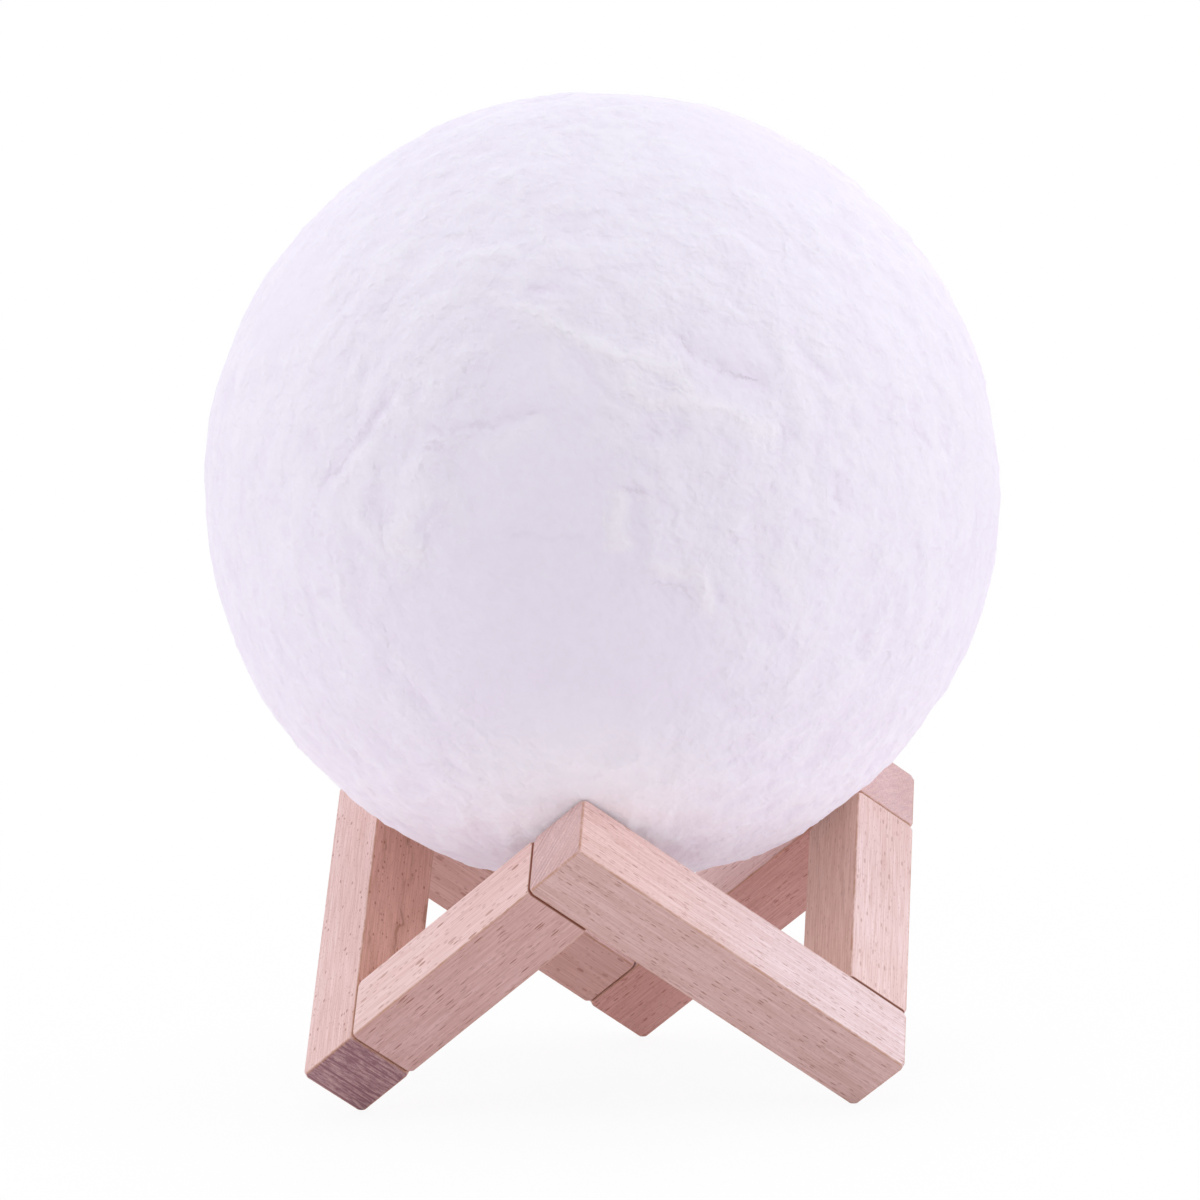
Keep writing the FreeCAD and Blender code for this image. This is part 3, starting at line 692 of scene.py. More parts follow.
    def _pits(self, ball: Value) -> Value:
        """Small nicks, painted dark as shade."""
        apart, chance = ball.scaled((0.8, 0.8, 1.5)).cells(0.22)
        return apart.ramp(0.2, 0.08) * chance.ramp(0.6, 0.66)


@dataclass(frozen=True)
class MouldedFinish(Finish):
    """Moulded plastic or resin; its skin's depth is in millimetres."""

    colour: Colour
    roughness: float = 0.45
    skin: float = 3.0
    skin_depth: float = 0.012
    clear: float = 0.0
    coat: float = 0.0

    def lay(self, bench: FinishBench) -> None:
        """Lay out the plastic.

        Args:
            bench: the material's node tree.
        """
        place = bench.local()
        skin = place.cloud(self.skin, 3.0, 0.6)
        darker = tuple(part * 0.9 for part in self.colour)
        bench.raise_by(skin, self.skin_depth)
        bench.set(
            Base_Color=place.cloud(0.12).ramp(0.3, 0.7).between(self.colour, darker),
            Roughness=skin.ramp(0.3, 0.7, self.roughness * 0.9, min(1.0, self.roughness * 1.15)),
            Transmission_Weight=self.clear,
            Coat_Weight=self.coat,
            Coat_Roughness=0.2,
            IOR=1.48,
        )


@dataclass(frozen=True)
class PlatedFinish(Finish):
    """Plated or rolled metal with fine marks along one axis."""

    colour: Colour
    roughness: float
    marks: Point = (0.4, 0.4, 9.0)

    def lay(self, bench: FinishBench) -> None:
        """Lay out the metal.

        Args:
            bench: the material's node tree.
        """
        place = bench.local()
        stains = place.cloud(0.6, 3.0, 0.6)
        darker = tuple(part * 0.78 for part in self.colour)
        tone = stains.ramp(0.35, 0.75).between(self.colour, darker)
        bench.raise_by(place.scaled(self.marks).cloud(1.0, 3.0, 0.6), 0.01)
        rough = stains.ramp(0.3, 0.7, self.roughness * 0.8, self.roughness * 1.25)
        bench.set(Base_Color=tone, Metallic=1.0, Roughness=rough)


@dataclass(frozen=True)
class BoardFinish(Finish):
    """Circuit board under solder mask, with copper runs below it."""

    mask: Colour
    copper: Colour
    run_pitch: float = 1.4

    def lay(self, bench: FinishBench) -> None:
        """Lay out the board.

        Args:
            bench: the material's node tree.
        """
        place = bench.local()
        feeds = {"Vector": place.scaled((1.0, 1.0, 0.0)), "Scale": 1.0 / (self.run_pitch * 2.2)}
        feeds["Randomness"] = 0.85
        net = bench.add("TexVoronoi", feeds, feature="DISTANCE_TO_EDGE")
        runs = net.out("Distance").ramp(0.1, 0.07)
        weave = place.scaled((4.0, 4.0, 4.0)).cloud().ramp(0.4, 0.7, 0.0, 0.2)
        tone = (runs * 0.55).between(self.mask, self.copper)
        tone = weave.between(tone, tuple(part * 0.7 for part in self.mask))
        bench.raise_by(runs, 0.03)
        bench.set(Base_Color=tone, Roughness=0.35, Coat_Weight=0.3, Coat_Roughness=0.2)


@dataclass(frozen=True)
class FoilFinish(Finish):
    """Crinkled foil of a pouch cell."""

    colour: Colour

    def lay(self, bench: FinishBench) -> None:
        """Lay out the foil.

        Args:
            bench: the material's node tree.
        """
        place = bench.local()
        creases = place.cloud(0.9, 4.0, 0.6, 0.6)
        bench.raise_by(place.cells(0.35)[0], 0.12)
        bench.raise_by(creases, 0.05)
        darker = tuple(part * 0.85 for part in self.colour)
        tone = creases.ramp(0.3, 0.7).between(self.colour, darker)
        bench.set(Base_Color=tone, Metallic=0.9, Roughness=0.38)


@dataclass(frozen=True)
class FoamFinish(Finish):
    """Open-celled foam, with its cells' size in millimetres."""

    colour: Colour
    cell: float = 0.5

    def lay(self, bench: FinishBench) -> None:
        """Lay out the foam.

        Args:
            bench: the material's node tree.
        """
        hollow = bench.local().cells(1.0 / self.cell)[0].ramp(0.1, 0.6)
        # painted shade in the cells' hollows
        tone = hollow.between(tuple(part * 0.35 for part in self.colour), self.colour)
        bench.raise_by(hollow, 0.2)
        bench.set(Base_Color=tone, Roughness=0.95, Specular_IOR_Level=0.2)


# ------------------------------------------------------------------ cradle


@dataclass(frozen=True)
class StickPlan:
    """One stick of the cradle, along an edge of the stand's cube.

    low and high are its corners, where 0 and 3 are the cube's faces and 1 and
    2 lie a stick's side inside them. grain is the cube axis that it follows,
    rings the way across its growth rings and the shaded side the side that
    lies in shade and gets painted shade, both along cube axes. gaps, in
    millimetres, are the open joints at its ends.
    """

    name: str
    grain: int
    low: tuple[int, int, int]
    high: tuple[int, int, int]
    rings: Point
    seed: float
    wood: Wood
    shaded_side: Point = (0, 0, -1)
    gaps: tuple[float, float] = (0.08, 0.08)

    def butts(self) -> bool:
        """Whether its ends butt against the sides of other sticks."""
        return self.low[self.grain] > 0


@dataclass
class Cradle:
    """Six square sticks along the zigzag edges of a cube stood on one corner.

    Lengths are in millimetres and areas in square millimetres. ground is how
    far above the cube's lowest corner the feet are cut by the ground, and
    faces larger than broad_face get a loop of edges just inside their rim.
    """

    cube_edge: float = 79.5
    side: float = 14.2
    ground: float = 38.287
    corner_cut: float = 1.0143
    edge_ease: float = 0.34
    hold_loop: float = 0.06
    broad_face: float = 20.0
    # painted shade in a joint for each millimetre that it stands open
    seam_shade_per_gap: float = 12.5
    plans: tuple[StickPlan, ...] = (
        StickPlan(
            "left_stick", 2, (2, 0, 0), (3, 1, 3), (0, 1, 0.12), 31.0,
            Wood(
                (1.7, 1.0, 0.8), 0.3, 0.6, ring_pitch=1.3, ring_depth=0.2, foot_end=1.35,
                end_colour=(0.27, 0.12, 0.145), shade_tint=(0.92, 0.76, 0.65), figure=0.6,
                board=(0.97, 0.95, 0.95),
            ),
            shaded_side=(0, 1, 0),
        ),
        StickPlan(
            "front_right_stick", 0, (0, 2, 0), (3, 3, 1), (0, 1, -1), 57.0,
            Wood(
                (3.0, 2.0, 0.4), 0.6, 0.56, ring_pitch=1.15, end_dark=0.62,
                shade_tint=(0.88, 0.86, 0.85), painted_sheen=(1.05, 1.17, 1.25),
            ),
        ),
        StickPlan(
            "rear_right_stick", 1, (0, 0, 2), (1, 3, 3), (1, 0, 1), 83.0,
            Wood(
                (3.0, 2.2, 0.42), fleck_depth=0.6, end_dark=0.55, end_rings=0.12,
                end_colour=(0.52, 0.34, 0.4), shade_tint=(0.74, 0.56, 0.53),
            ),
        ),
        StickPlan(
            "front_left_stick", 1, (2, 1, 0), (3, 2, 1), (0.12, 0, 1), 109.0,
            Wood(
                (5.2, 1.8, 0.5), 0.5, 0.7, shade_tint=(0.84, 0.76, 0.75), painted_sheen=(1.03, 1.06, 1.07)
            ),
        ),
        StickPlan(
            "right_stick", 2, (0, 2, 1), (1, 3, 2), (1, 0.4, 0), 135.0,
            Wood(
                (2.8, 2.0, 0.4), fleck_depth=0.4, shade_tint=(0.9, 0.82, 0.72), board=(1.05, 1.1, 1.12)
            ),
            shaded_side=(1, 0, 0),
            gaps=(0.1, 0.01),
        ),
        StickPlan(
            "rear_left_stick", 0, (1, 0, 2), (2, 1, 3), (0, 1, 0.3), 161.0,
            Wood((3.4, 2.2, 0.46), fleck_depth=0.5, shade_tint=(0.77, 0.66, 0.62)),
        ),
    )

    def cube_turn(self) -> Matrix:
        """Matrix whose columns are the cube's three axes in the row frame."""
        rise = math.degrees(math.asin(1 / math.sqrt(3)))
        return Matrix([bearing(degrees, rise) for degrees in (300, 60, 180)]).transposed()

    def placed(self, point: Vector) -> Vector:
        """A point of the cube, in millimetres, in the row frame, in metres."""
        return (self.cube_turn() @ point - Vector((0, 0, self.ground))) * MM

    def tips(self) -> list[Vector]:
        """Find the three corners that carry the globe.

        Returns:
            The corners in the row frame, in metres.
        """
        edge, side = self.cube_edge, self.side
        corners = ((edge, edge, side), (side, edge, edge), (edge, side, edge))
        return [self.placed(Vector(corner)) for corner in corners]

    def build(self) -> None:
        """Make and dress the six sticks."""
        for plan in self.plans:
            stick = self.stick(plan)
            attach(stick, "cradle")
            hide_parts(plan.name)
            log.info("stick %s: %d faces", stick.name, len(stick.data.polygons))

    def stick(self, plan: StickPlan) -> bpy.types.Object:
        """Make one stick with cut corners, eased edges and its own wood.

        Args:
            plan: which stick.

        Returns:
            The finished piece.
        """
        levels = (0.0, self.side, self.cube_edge - self.side, self.cube_edge)
        low = Vector(levels[level] for level in plan.low)
        high = Vector(levels[level] for level in plan.high)
        if plan.butts():
            low[plan.grain] += plan.gaps[0]
            high[plan.grain] -= plan.gaps[1]
        size, centre = high - low, (low + high) / 2
        sheet = bmesh.new()
        bmesh.ops.create_cube(sheet, size=1.0)
        bmesh.ops.scale(sheet, vec=size, verts=sheet.verts)
        self._bevel(sheet, sheet.verts[:], self.corner_cut, 1, "VERTICES")
        self._bevel(sheet, sheet.edges[:], self.edge_ease, 3, "EDGES")
        broad = [face for face in sheet.faces if face.calc_area() > self.broad_face]
        bmesh.ops.inset_individual(
            sheet, faces=broad, thickness=self.hold_loop, use_even_offset=True
        )
        place = Matrix.Translation(self.placed(centre)) @ (self.cube_turn() * MM).to_4x4()
        bmesh.ops.transform(sheet, matrix=place, verts=sheet.verts)
        for vert in sheet.verts:
            vert.co.z = max(vert.co.z, 0.0)
        bmesh.ops.recalc_face_normals(sheet, faces=sheet.faces)
        stick = piece_from(plan.name + "_wood", sheet, 80)
        stick.data.materials.append(self.wood(plan, size[plan.grain], self.placed(centre)).make())
        return stick

    def _bevel(
        self, sheet: bmesh.types.BMesh, parts: list, offset: float, segments: int, affect: str
    ) -> None:
        """Bevel the corners or edges of a stick.

        Args:
            sheet: the stick.
            parts: its corners or edges.
            offset: how deep the bevel is.
            segments: its steps.
            affect: VERTICES or EDGES.
        """
        bmesh.ops.bevel(
            sheet, geom=parts, offset=offset, offset_type="OFFSET", segments=segments,
            profile=0.5, affect=affect, material=-1, clamp_overlap=True,
        )

    def wood(self, plan: StickPlan, length: float, centre: Vector) -> BeechFinish:
        """The wood of one stick, turned as its board was cut.

        Args:
            plan: which stick.
            length: its length along the grain, in millimetres.
            centre: its middle in the row frame, in metres.

        Returns:
            The finish.
        """
        turn = self.cube_turn()
        grain, first, second = ((plan.grain + step) % 3 for step in range(3))
        # painted shade in the joints, darker the wider they stand open
        seam_shades = tuple(min(gap * self.seam_shade_per_gap, 1.0) for gap in plan.gaps)
        return BeechFinish(
            "beech_" + plan.name,
            plan.wood,
            tuple(centre),
            Matrix((turn.col[grain], turn.col[first], turn.col[second])).transposed(),
            length,
            self.side,
            -math.atan2(plan.rings[second], plan.rings[first]),
            plan.seed,
            seam_shades if plan.butts() else (0.0, 0.0),
            tuple(turn @ Vector(plan.shaded_side)),
        )


# ------------------------------------------------------------------- globe


@dataclass(frozen=True)
class ReliefLine:
    """A ridge or crease on the globe through (bearing, rise) points.

    height is in millimetres, below zero for a crease, half_width is where it
    has faded to a third, and crisp is how sharp its edge is, from 0 to 1.
    """

    path: tuple[tuple[float, float], ...]
    height: float
    half_width: float
    crisp: float = 1.0


@dataclass(frozen=True)
class Crater:
    """A round hollow with a raised rim; radius and depth are in millimetres."""

    bearing: float
    rise: float
    radius: float
    depth: float
    rim: float = 0.35


@dataclass(frozen=True)
class Plain:
    """A smooth low plain round one (bearing, rise); reach is in degrees."""

    bearing: float
    rise: float
    reach: float
    depth: float = 0.22


@dataclass(frozen=True)
class Lumps:
    """One sort of lumps in the ground.

    size is how far apart they lie, layers how many finer sorts lie on them and
    shift their own place in the noise. height is how high they stand in the
    highlands and plain_height on the plains. Lengths are in millimetres.
    """

    size: float
    layers: int
    shift: float
    height: float = 1.0
    plain_height: float = 0.0


class GroundNoise:
    """Smooth noise in space, worked out for many points at once."""

    def __init__(self, seed: int) -> None:
        """Shuffle the lattice and draw its slopes.

        Args:
            seed: where the draws start.
        """
        draw = random.Random(seed)
        order = list(range(256))
        draw.shuffle(order)
        self.order = np.array(order)
        slopes = np.array([[draw.gauss(0, 1) for _ in range(3)] for _ in range(256)])
        self.slopes = slopes / np.linalg.norm(slopes, axis=1)[:, None]

    def at(self, places: np.ndarray) -> np.ndarray:
        """Work out the noise.

        Args:
            places: one place per row.

        Returns:
            The noise at each, about -1 to 1, with lumps one unit apart.
        """
        cell = np.floor(places).astype(int)
        part = places - cell
        ease = part**3 * (part * (part * 6.0 - 15.0) + 10.0)
        total = np.zeros(len(places))
        for number in range(8):
            corner = np.array([number >> axis & 1 for axis in range(3)])
            spot = (cell + corner) & 255
            pick = self.order[(self.order[spot[:, 0]] + spot[:, 1]) & 255]
            pick = self.order[(pick + spot[:, 2]) & 255]
            value = (self.slopes[pick] * (part - corner)).sum(axis=1)
            total += np.prod(np.where(corner == 1, ease, 1.0 - ease), axis=1) * value
        return total * 1.7


@dataclass
class MoonRelief:
    """Height of the moon's ground over the shell's ball.

    Lengths are in millimetres. front is the bearing round which the ground is
    drawn out. The ground is flat up to tip_flat from each tip of the cradle,
    and near each tip its colour is painted lighter, as painted light over the
    contact shadow; each of the two reaches has the start and end of its fade.
    """

    radius: float = 75.0
    level: float = 0.8
    lowest: float = 0.02
    highest: float = 1.55
    crater_count: int = 420
    crater_seed: int = 11
    line_force: float = 0.95
    line_reach: float = 3.0
    draw_out: float = 0.62
    line_share: float = 0.85
    front: float = 4.0
    tip_flat: tuple[float, float] = (2.0, 9.5)
    # how far from each tip the colour is painted lighter, over the contact shadow
    painted_light_reach: tuple[float, float] = (8.0, 30.0)
    swell: Lumps = Lumps(34.0, 2, 3.1, 0.15)
    hills: Lumps = Lumps(13.0, 2, 17.7, 0.52, 0.22)
    patches: Lumps = Lumps(16.0, 2, 55.0)
    wrinkles: Lumps = Lumps(4.6, 2, 41.3, 0.24)
    bumps: Lumps = Lumps(5.6, 3, 66.9, 0.2, 0.05)
    grit: Lumps = Lumps(3.0, 1, 27.0, 0.32)
    waver: Lumps = Lumps(4.5, 2, 90.0, 0.8)
    breaks: Lumps = Lumps(5.0, 2, 12.0, 0.5)
    noise: GroundNoise = field(default_factory=lambda: GroundNoise(29))
    lines: tuple[ReliefLine, ...] = (
        ReliefLine(((-6.6, 30.9), (-0.8, 27.4), (4.2, 25.4), (8.6, 23.4), (14.1, 22.2),
                    (17.9, 19.5), (18.4, 16.7), (23.7, 14.7), (26.8, 12.8), (30.5, 11.5)),
                   0.44, 1.2),
        ReliefLine(((9.9, 20.5), (10.5, 18), (12.5, 16.6), (18.3, 16.3)), 0.4, 1.2),
        ReliefLine(((17.9, 25.3), (20.6, 22.3), (23.3, 20.3), (29.3, 18.6)), -0.65, 2.1, 0.55),
        ReliefLine(((-1.9, 25.9), (-1, 20.8), (1.9, 18.6)), 0.24, 1.6, 0.3),
        ReliefLine(((-36.3, 6.1), (-34.9, 6.8), (-31.6, 11.1), (-27.6, 16.7), (-25.4, 18.9)),
                   -0.5, 1.6, 0.6),
        ReliefLine(((-34.2, 5), (-30.2, 9.8), (-26.2, 15)), 0.3, 1.5, 0.3),
        ReliefLine(((-19.9, 10.2), (-17.7, 10.9)), -0.36, 1.1),
        ReliefLine(((-19.4, 13.3), (-13.6, 13.6), (-10.3, 14), (-3.9, 15.6)), -0.38, 1.1, 0.7),
        ReliefLine(((-10.9, 10.2), (-7.4, 12.2), (-3.1, 14.6)), 0.28, 1.3, 0.3),
        ReliefLine(((7.9, 4), (7.2, 0.4), (7.7, -3)), 0.44, 0.9),
        ReliefLine(((8.5, 5), (10.8, 4.3)), -0.3, 0.9),
        ReliefLine(((12.3, -6.4), (16.1, -7), (18.6, -7.4), (20.1, -12.8)), 0.36, 0.9),
        ReliefLine(((12.3, -8.3), (16.1, -9), (18.2, -12)), -0.24, 1.4),
        ReliefLine(((26.6, -1.6), (28.8, -5.9), (32.1, -9.7)), 0.3, 1.1, 0.5),
        ReliefLine(((31.3, -9.6), (34.9, -14.2), (34.7, -26.4)), 0.3, 1.4, 0.25),
        ReliefLine(((36.8, 25.9), (38.4, 21.3), (42.1, 18.2)), -0.32, 1.5, 0.35),
        ReliefLine(((39.6, 5.1), (40.1, 0.9)), -0.32, 1.6),
        ReliefLine(((56.4, 10.8), (59.3, 7.8)), -0.42, 1.3, 0.6),
        ReliefLine(((-30.5, -2.7), (-31.4, -12), (-29.7, -20.9), (-24.9, -25.5)), -0.3, 2.2, 0),
        ReliefLine(((-22.9, 0.9), (-25.5, -3.3), (-20.8, -3.6)), 0.26, 0.9),
        ReliefLine(((-6.8, -1.5), (2.2, -1.3)), -0.2, 1.2, 0.5),
        ReliefLine(((-17.5, 39.1), (-9.2, 39.9)), 0.32, 1.4, 0.3),
        ReliefLine(((-4.8, 34.4), (1.1, 33.1)), -0.38, 1.6, 0.5),
        ReliefLine(((-24.9, 29.9), (-21.1, 32.6), (-14.9, 33)), 0.3, 1.4, 0.25),
        ReliefLine(((-1, 41), (4.4, 37.5)), 0.3, 1.3, 0.4),
        ReliefLine(((118, 30), (131, 22), (140, 8), (152, 2)), 0.34, 1.2),
        ReliefLine(((165, 34), (180, 26), (196, 27)), 0.3, 1.3),
        ReliefLine(((204, -6), (214, -16), (218, -30)), -0.4, 1.8, 0.4),
        ReliefLine(((232, 18), (245, 12), (256, -4), (262, -18)), 0.32, 1.2),
        ReliefLine(((96, -8), (104, -20), (116, -28)), 0.3, 1.1),
    )
    hollows: tuple[Crater, ...] = (
        Crater(23.3, -3.2, 1.7, 0.3, 0.5),
        Crater(14.6, 18.9, 3.4, 0.16, 0.2),
        Crater(-45.3, -1.6, 2.3, 0.45, 0.4),
        Crater(-27.3, 2.5, 4.6, 0.3),
        Crater(-28.5, 15.4, 1.5, 0.3),
        Crater(47, -20, 3.4, 0.35),
        Crater(150, -18, 7.5, 0.5),
        Crater(188, 8, 6, 0.5),
        Crater(228, 38, 8, 0.5),
        Crater(282, -34, 6.5, 0.45),
        Crater(98, 44, 5.5, 0.4),
        Crater(20, 72, 4, 0.3),
        Crater(170, -48, 5, 0.4),
        Crater(95.4, 38.2, 2.6, -0.7, 0),
    )
    plains: tuple[Plain, ...] = (
        Plain(-3.2, 18, 10, 0.2),
        Plain(-4, 5, 13, 0.16),
        Plain(-5, -15, 20, 0.2),
        Plain(9, -20, 12, 0.14),
        Plain(26.5, 22, 7, 0.1),
        Plain(-22, -14, 7, 0.16),
        Plain(-58, 32, 10, 0.16),
        Plain(-92, -8, 15),
        Plain(128, -2, 13),
        Plain(208, 14, 11),
        Plain(60, 60, 13, 0.14),
    )

    def heights(
        self, directions: np.ndarray, tips: list[Vector]
    ) -> tuple[np.ndarray, dict[str, np.ndarray]]:
        """Work out the ground's height in each direction.

        Args:
            directions: unit vectors from the globe's centre, one per row.
            tips: directions of the three corners that carry the globe.

        Returns:
            The heights over the shell's ball, and what the finish reads at
            each point: the share of relief, how rough the ground is, how near
            the cradle's tips it lies, which sets the painted light there, and
            the distance to the nearest ridge and crease with their force.
        """
        ground = directions * self.radius
        drawn = self._drawn_out(directions)
        calm, sunk = self._plains(directions)
        rough = 1.0 - calm
        broad = self.level + self._noise(ground, self.swell) - sunk
        broad += self._noise(drawn, self.hills, rough)
        patches = smooth_step(self._noise(ground, self.patches), -0.3, 0.35)
        detail = patches * self._crests(drawn, self.wrinkles, rough)
        detail += self._noise(drawn, self.bumps, rough)
        low = smooth_step(-directions[:, 2], 0.42, 0.62)
        detail += low * self._noise(ground, self.grit)
        self._dig(ground, detail, 1.0 - rough)
        lines = self._draw_lines(ground, detail)
        middle, reach = (self.highest + self.lowest) / 2, (self.highest - self.lowest) / 2
        height = middle + reach * np.tanh((broad + detail - middle) / reach)
        tip_light = np.zeros(len(ground))
        for tip in tips:
            apart = np.linalg.norm(ground - np.array(tip.normalized()) * self.radius, axis=1)
            height *= smooth_step(apart, *self.tip_flat)
            # painted light near the tips, over the contact shadow
            tip_light = np.maximum(tip_light, 1.0 - smooth_step(apart, *self.painted_light_reach))
        # the share of fine relief, which the finish paints lighter where it stands up and darker
        # where it sinks
        relief = np.clip(0.5 + detail / 1.2, 0.0, 1.0)
        return height, {"relief": relief, "rough": rough, "tip_light": tip_light, **lines}

    def _draw_lines(self, ground: np.ndarray, detail: np.ndarray) -> dict[str, np.ndarray]:
        """Raise the ridges and sink the creases.

        Args:
            ground: the points on the ball, in millimetres.
            detail: their heights, which are changed.

        Returns:
            Signed distance and force of the nearest ridge and crease.
        """
        waver = self._noise(ground, self.waver)
        broken = self.line_share + self._noise(ground, self.breaks)
        found = {}
        for kind in ("ridge", "crease"):
            found[kind] = np.full(len(ground), self.line_reach)
            found[kind + "_force"] = np.zeros(len(ground))
        for line in self.lines:
            path = [bearing(*point) * self.radius for point in line.path]
            signed, past = self._from_path(ground, path)
            signed = signed + waver
            fade = np.exp(-((np.hypot(signed, past) / line.half_width) ** 2))
            detail += self.line_force * line.height * broken * fade
            kind = "ridge" if line.height > 0 else "crease"
            hold = line.crisp * abs(line.height) / 0.4 * (1.0 - smooth_step(past, 0.2, 1.6))
            away = np.abs(signed)
            hold = hold * (1.0 - smooth_step(away, self.line_reach - 1.0, self.line_reach))
            closer = away < np.abs(found[kind])
            found[kind][closer] = signed[closer]
            found[kind + "_force"][closer] = hold[closer]
        return found

    def _drawn_out(self, directions: np.ndarray) -> np.ndarray:
        """Draw the ground out round the globe's front.

        Args:
            directions: unit vectors, one per row.

        Returns:
            Places for noise whose lumps are to be drawn out.
        """
        front = np.array(bearing(self.front, 0.0))
        along = directions @ front
        across = directions - along[:, None] * front
        arc = np.arccos(np.clip(along, -1.0, 1.0)) * self.radius
        return across * self.radius * self.draw_out + arc[:, None] * front

    def _plains(self, directions: np.ndarray) -> tuple[np.ndarray, np.ndarray]:
        """Lay the plains.

        Args:
            directions: unit vectors, one per row.

        Returns:
            How calm the ground is, 1 within a plain and 0 in the highlands,
            and how far it has sunk.
        """
        calm, sunk = np.zeros(len(directions)), np.zeros(len(directions))
        for plain in self.plains:
            middle = np.array(bearing(plain.bearing, plain.rise))
            apart = np.degrees(np.arccos(np.clip(directions @ middle, -1.0, 1.0)))
            within = 1.0 - smooth_step(apart, plain.reach * 0.55, plain.reach * 1.2)
            calm = np.maximum(calm, within)
            sunk += plain.depth * (1.0 - smooth_step(apart, plain.reach * 0.6, plain.reach * 1.15))
        return calm, sunk

    def _noise(
        self, ground: np.ndarray, lumps: Lumps, rough: np.ndarray | float = 1.0
    ) -> np.ndarray:
        """Layer smooth noise.

        Args:
            ground: the points, in millimetres.
            lumps: which noise.
            rough: 0 where a point lies on a plain and 1 in the highlands.

        Returns:
            Heights about 0, in millimetres.
        """
        total, share = np.zeros(len(ground)), 1.0
        for layer in range(lumps.layers):
            places = ground * (2.0**layer / lumps.size) + lumps.shift * (layer + 1)
            total += share * self.noise.at(places)
            share *= 0.52
        return total * (lumps.plain_height + (lumps.height - lumps.plain_height) * rough)

    def _crests(self, ground: np.ndarray, lumps: Lumps, rough: np.ndarray) -> np.ndarray:
        """Layer noise with sharp crests, which fade out on the plains.

        Args:
            ground: the points, in millimetres.
            lumps: which noise.
            rough: 0 where a point lies on a plain and 1 in the highlands.

        Returns:
            Heights about 0, in millimetres.
        """
        total, share, crest = np.zeros(len(ground)), 1.0, 1.0
        for layer in range(lumps.layers):
            places = ground * (2.1**layer / lumps.size) + lumps.shift * (layer + 1)
            lump = np.abs(self.noise.at(places))
            crest = (1.0 - np.minimum(lump * 1.6, 1.0)) ** 2 * crest
            total += share * crest
            crest = np.clip(crest * 1.6, 0.0, 1.0)
            share *= 0.55
        return (total - 0.75) * lumps.height * rough

    def _from_path(self, ground: np.ndarray, path: list[Vector]) -> tuple[np.ndarray, np.ndarray]:
        """Measure how each point lies to a path of straight steps.

        Args:
            ground: the points, in millimetres.
            path: the path's corners.

        Returns:
            The distance, below zero on one side, and how far the point lies
            past the path's nearer end.
        """
        nearest, signed, past = (np.full(len(ground), value) for value in (1e9, 1e9, 0.0))
        last = len(path) - 2
        for number, (start, end) in enumerate(zip(path, path[1:])):
            first, step = np.array(start), np.array(end - start)
            share = ((ground - first) @ step) / (step @ step)
            off = ground - first - np.clip(share, 0.0, 1.0)[:, None] * step
            away = np.linalg.norm(off, axis=1)
            over = np.maximum(-share * (number == 0), (share - 1.0) * (number == last))
            closer = away < nearest
            nearest[closer] = away[closer]
            signed[closer] = (np.sign(off @ np.cross(first, step)) * away)[closer]
            past[closer] = np.maximum(over, 0.0)[closer] * np.linalg.norm(step)
        return signed, past

    def _dig(self, ground: np.ndarray, height: np.ndarray, calm: np.ndarray) -> None:
        """Sink the named and the scattered craters.

        Args:
            ground: the points, in millimetres.
            height: their heights, which are changed.
            calm: how smooth the ground is, where scattered craters are worn.
        """
        draw = random.Random(self.crater_seed)
        pits = list(self.hollows)
        for _ in range(self.crater_count):
            size = 0.9 + 5.2 * draw.random() ** 4.5
            rise = math.degrees(math.asin(draw.uniform(-0.96, 1.0)))
            degrees, rim = draw.uniform(0, 360), draw.uniform(0.2, 0.5)
            pits.append(Crater(degrees, rise, size, 0.1 + 0.05 * size, rim))
        for number, pit in enumerate(pits):
            middle = np.array(bearing(pit.bearing, pit.rise)) * self.radius
            near = np.where(((ground - middle) ** 2).sum(axis=1) < (2.2 * pit.radius) ** 2)[0]
            away = np.linalg.norm(ground[near] - middle, axis=1) / pit.radius
            bowl = -pit.depth * (1.0 - smooth_step(away, 0.25, 1.0))
            rim = pit.rim * pit.depth * np.exp(-(((away - 1.12) / 0.24) ** 2))
            worn = 1.0 if number < len(self.hollows) else 1.0 - 0.8 * calm[near]
            height[near] += (bowl + rim) * worn


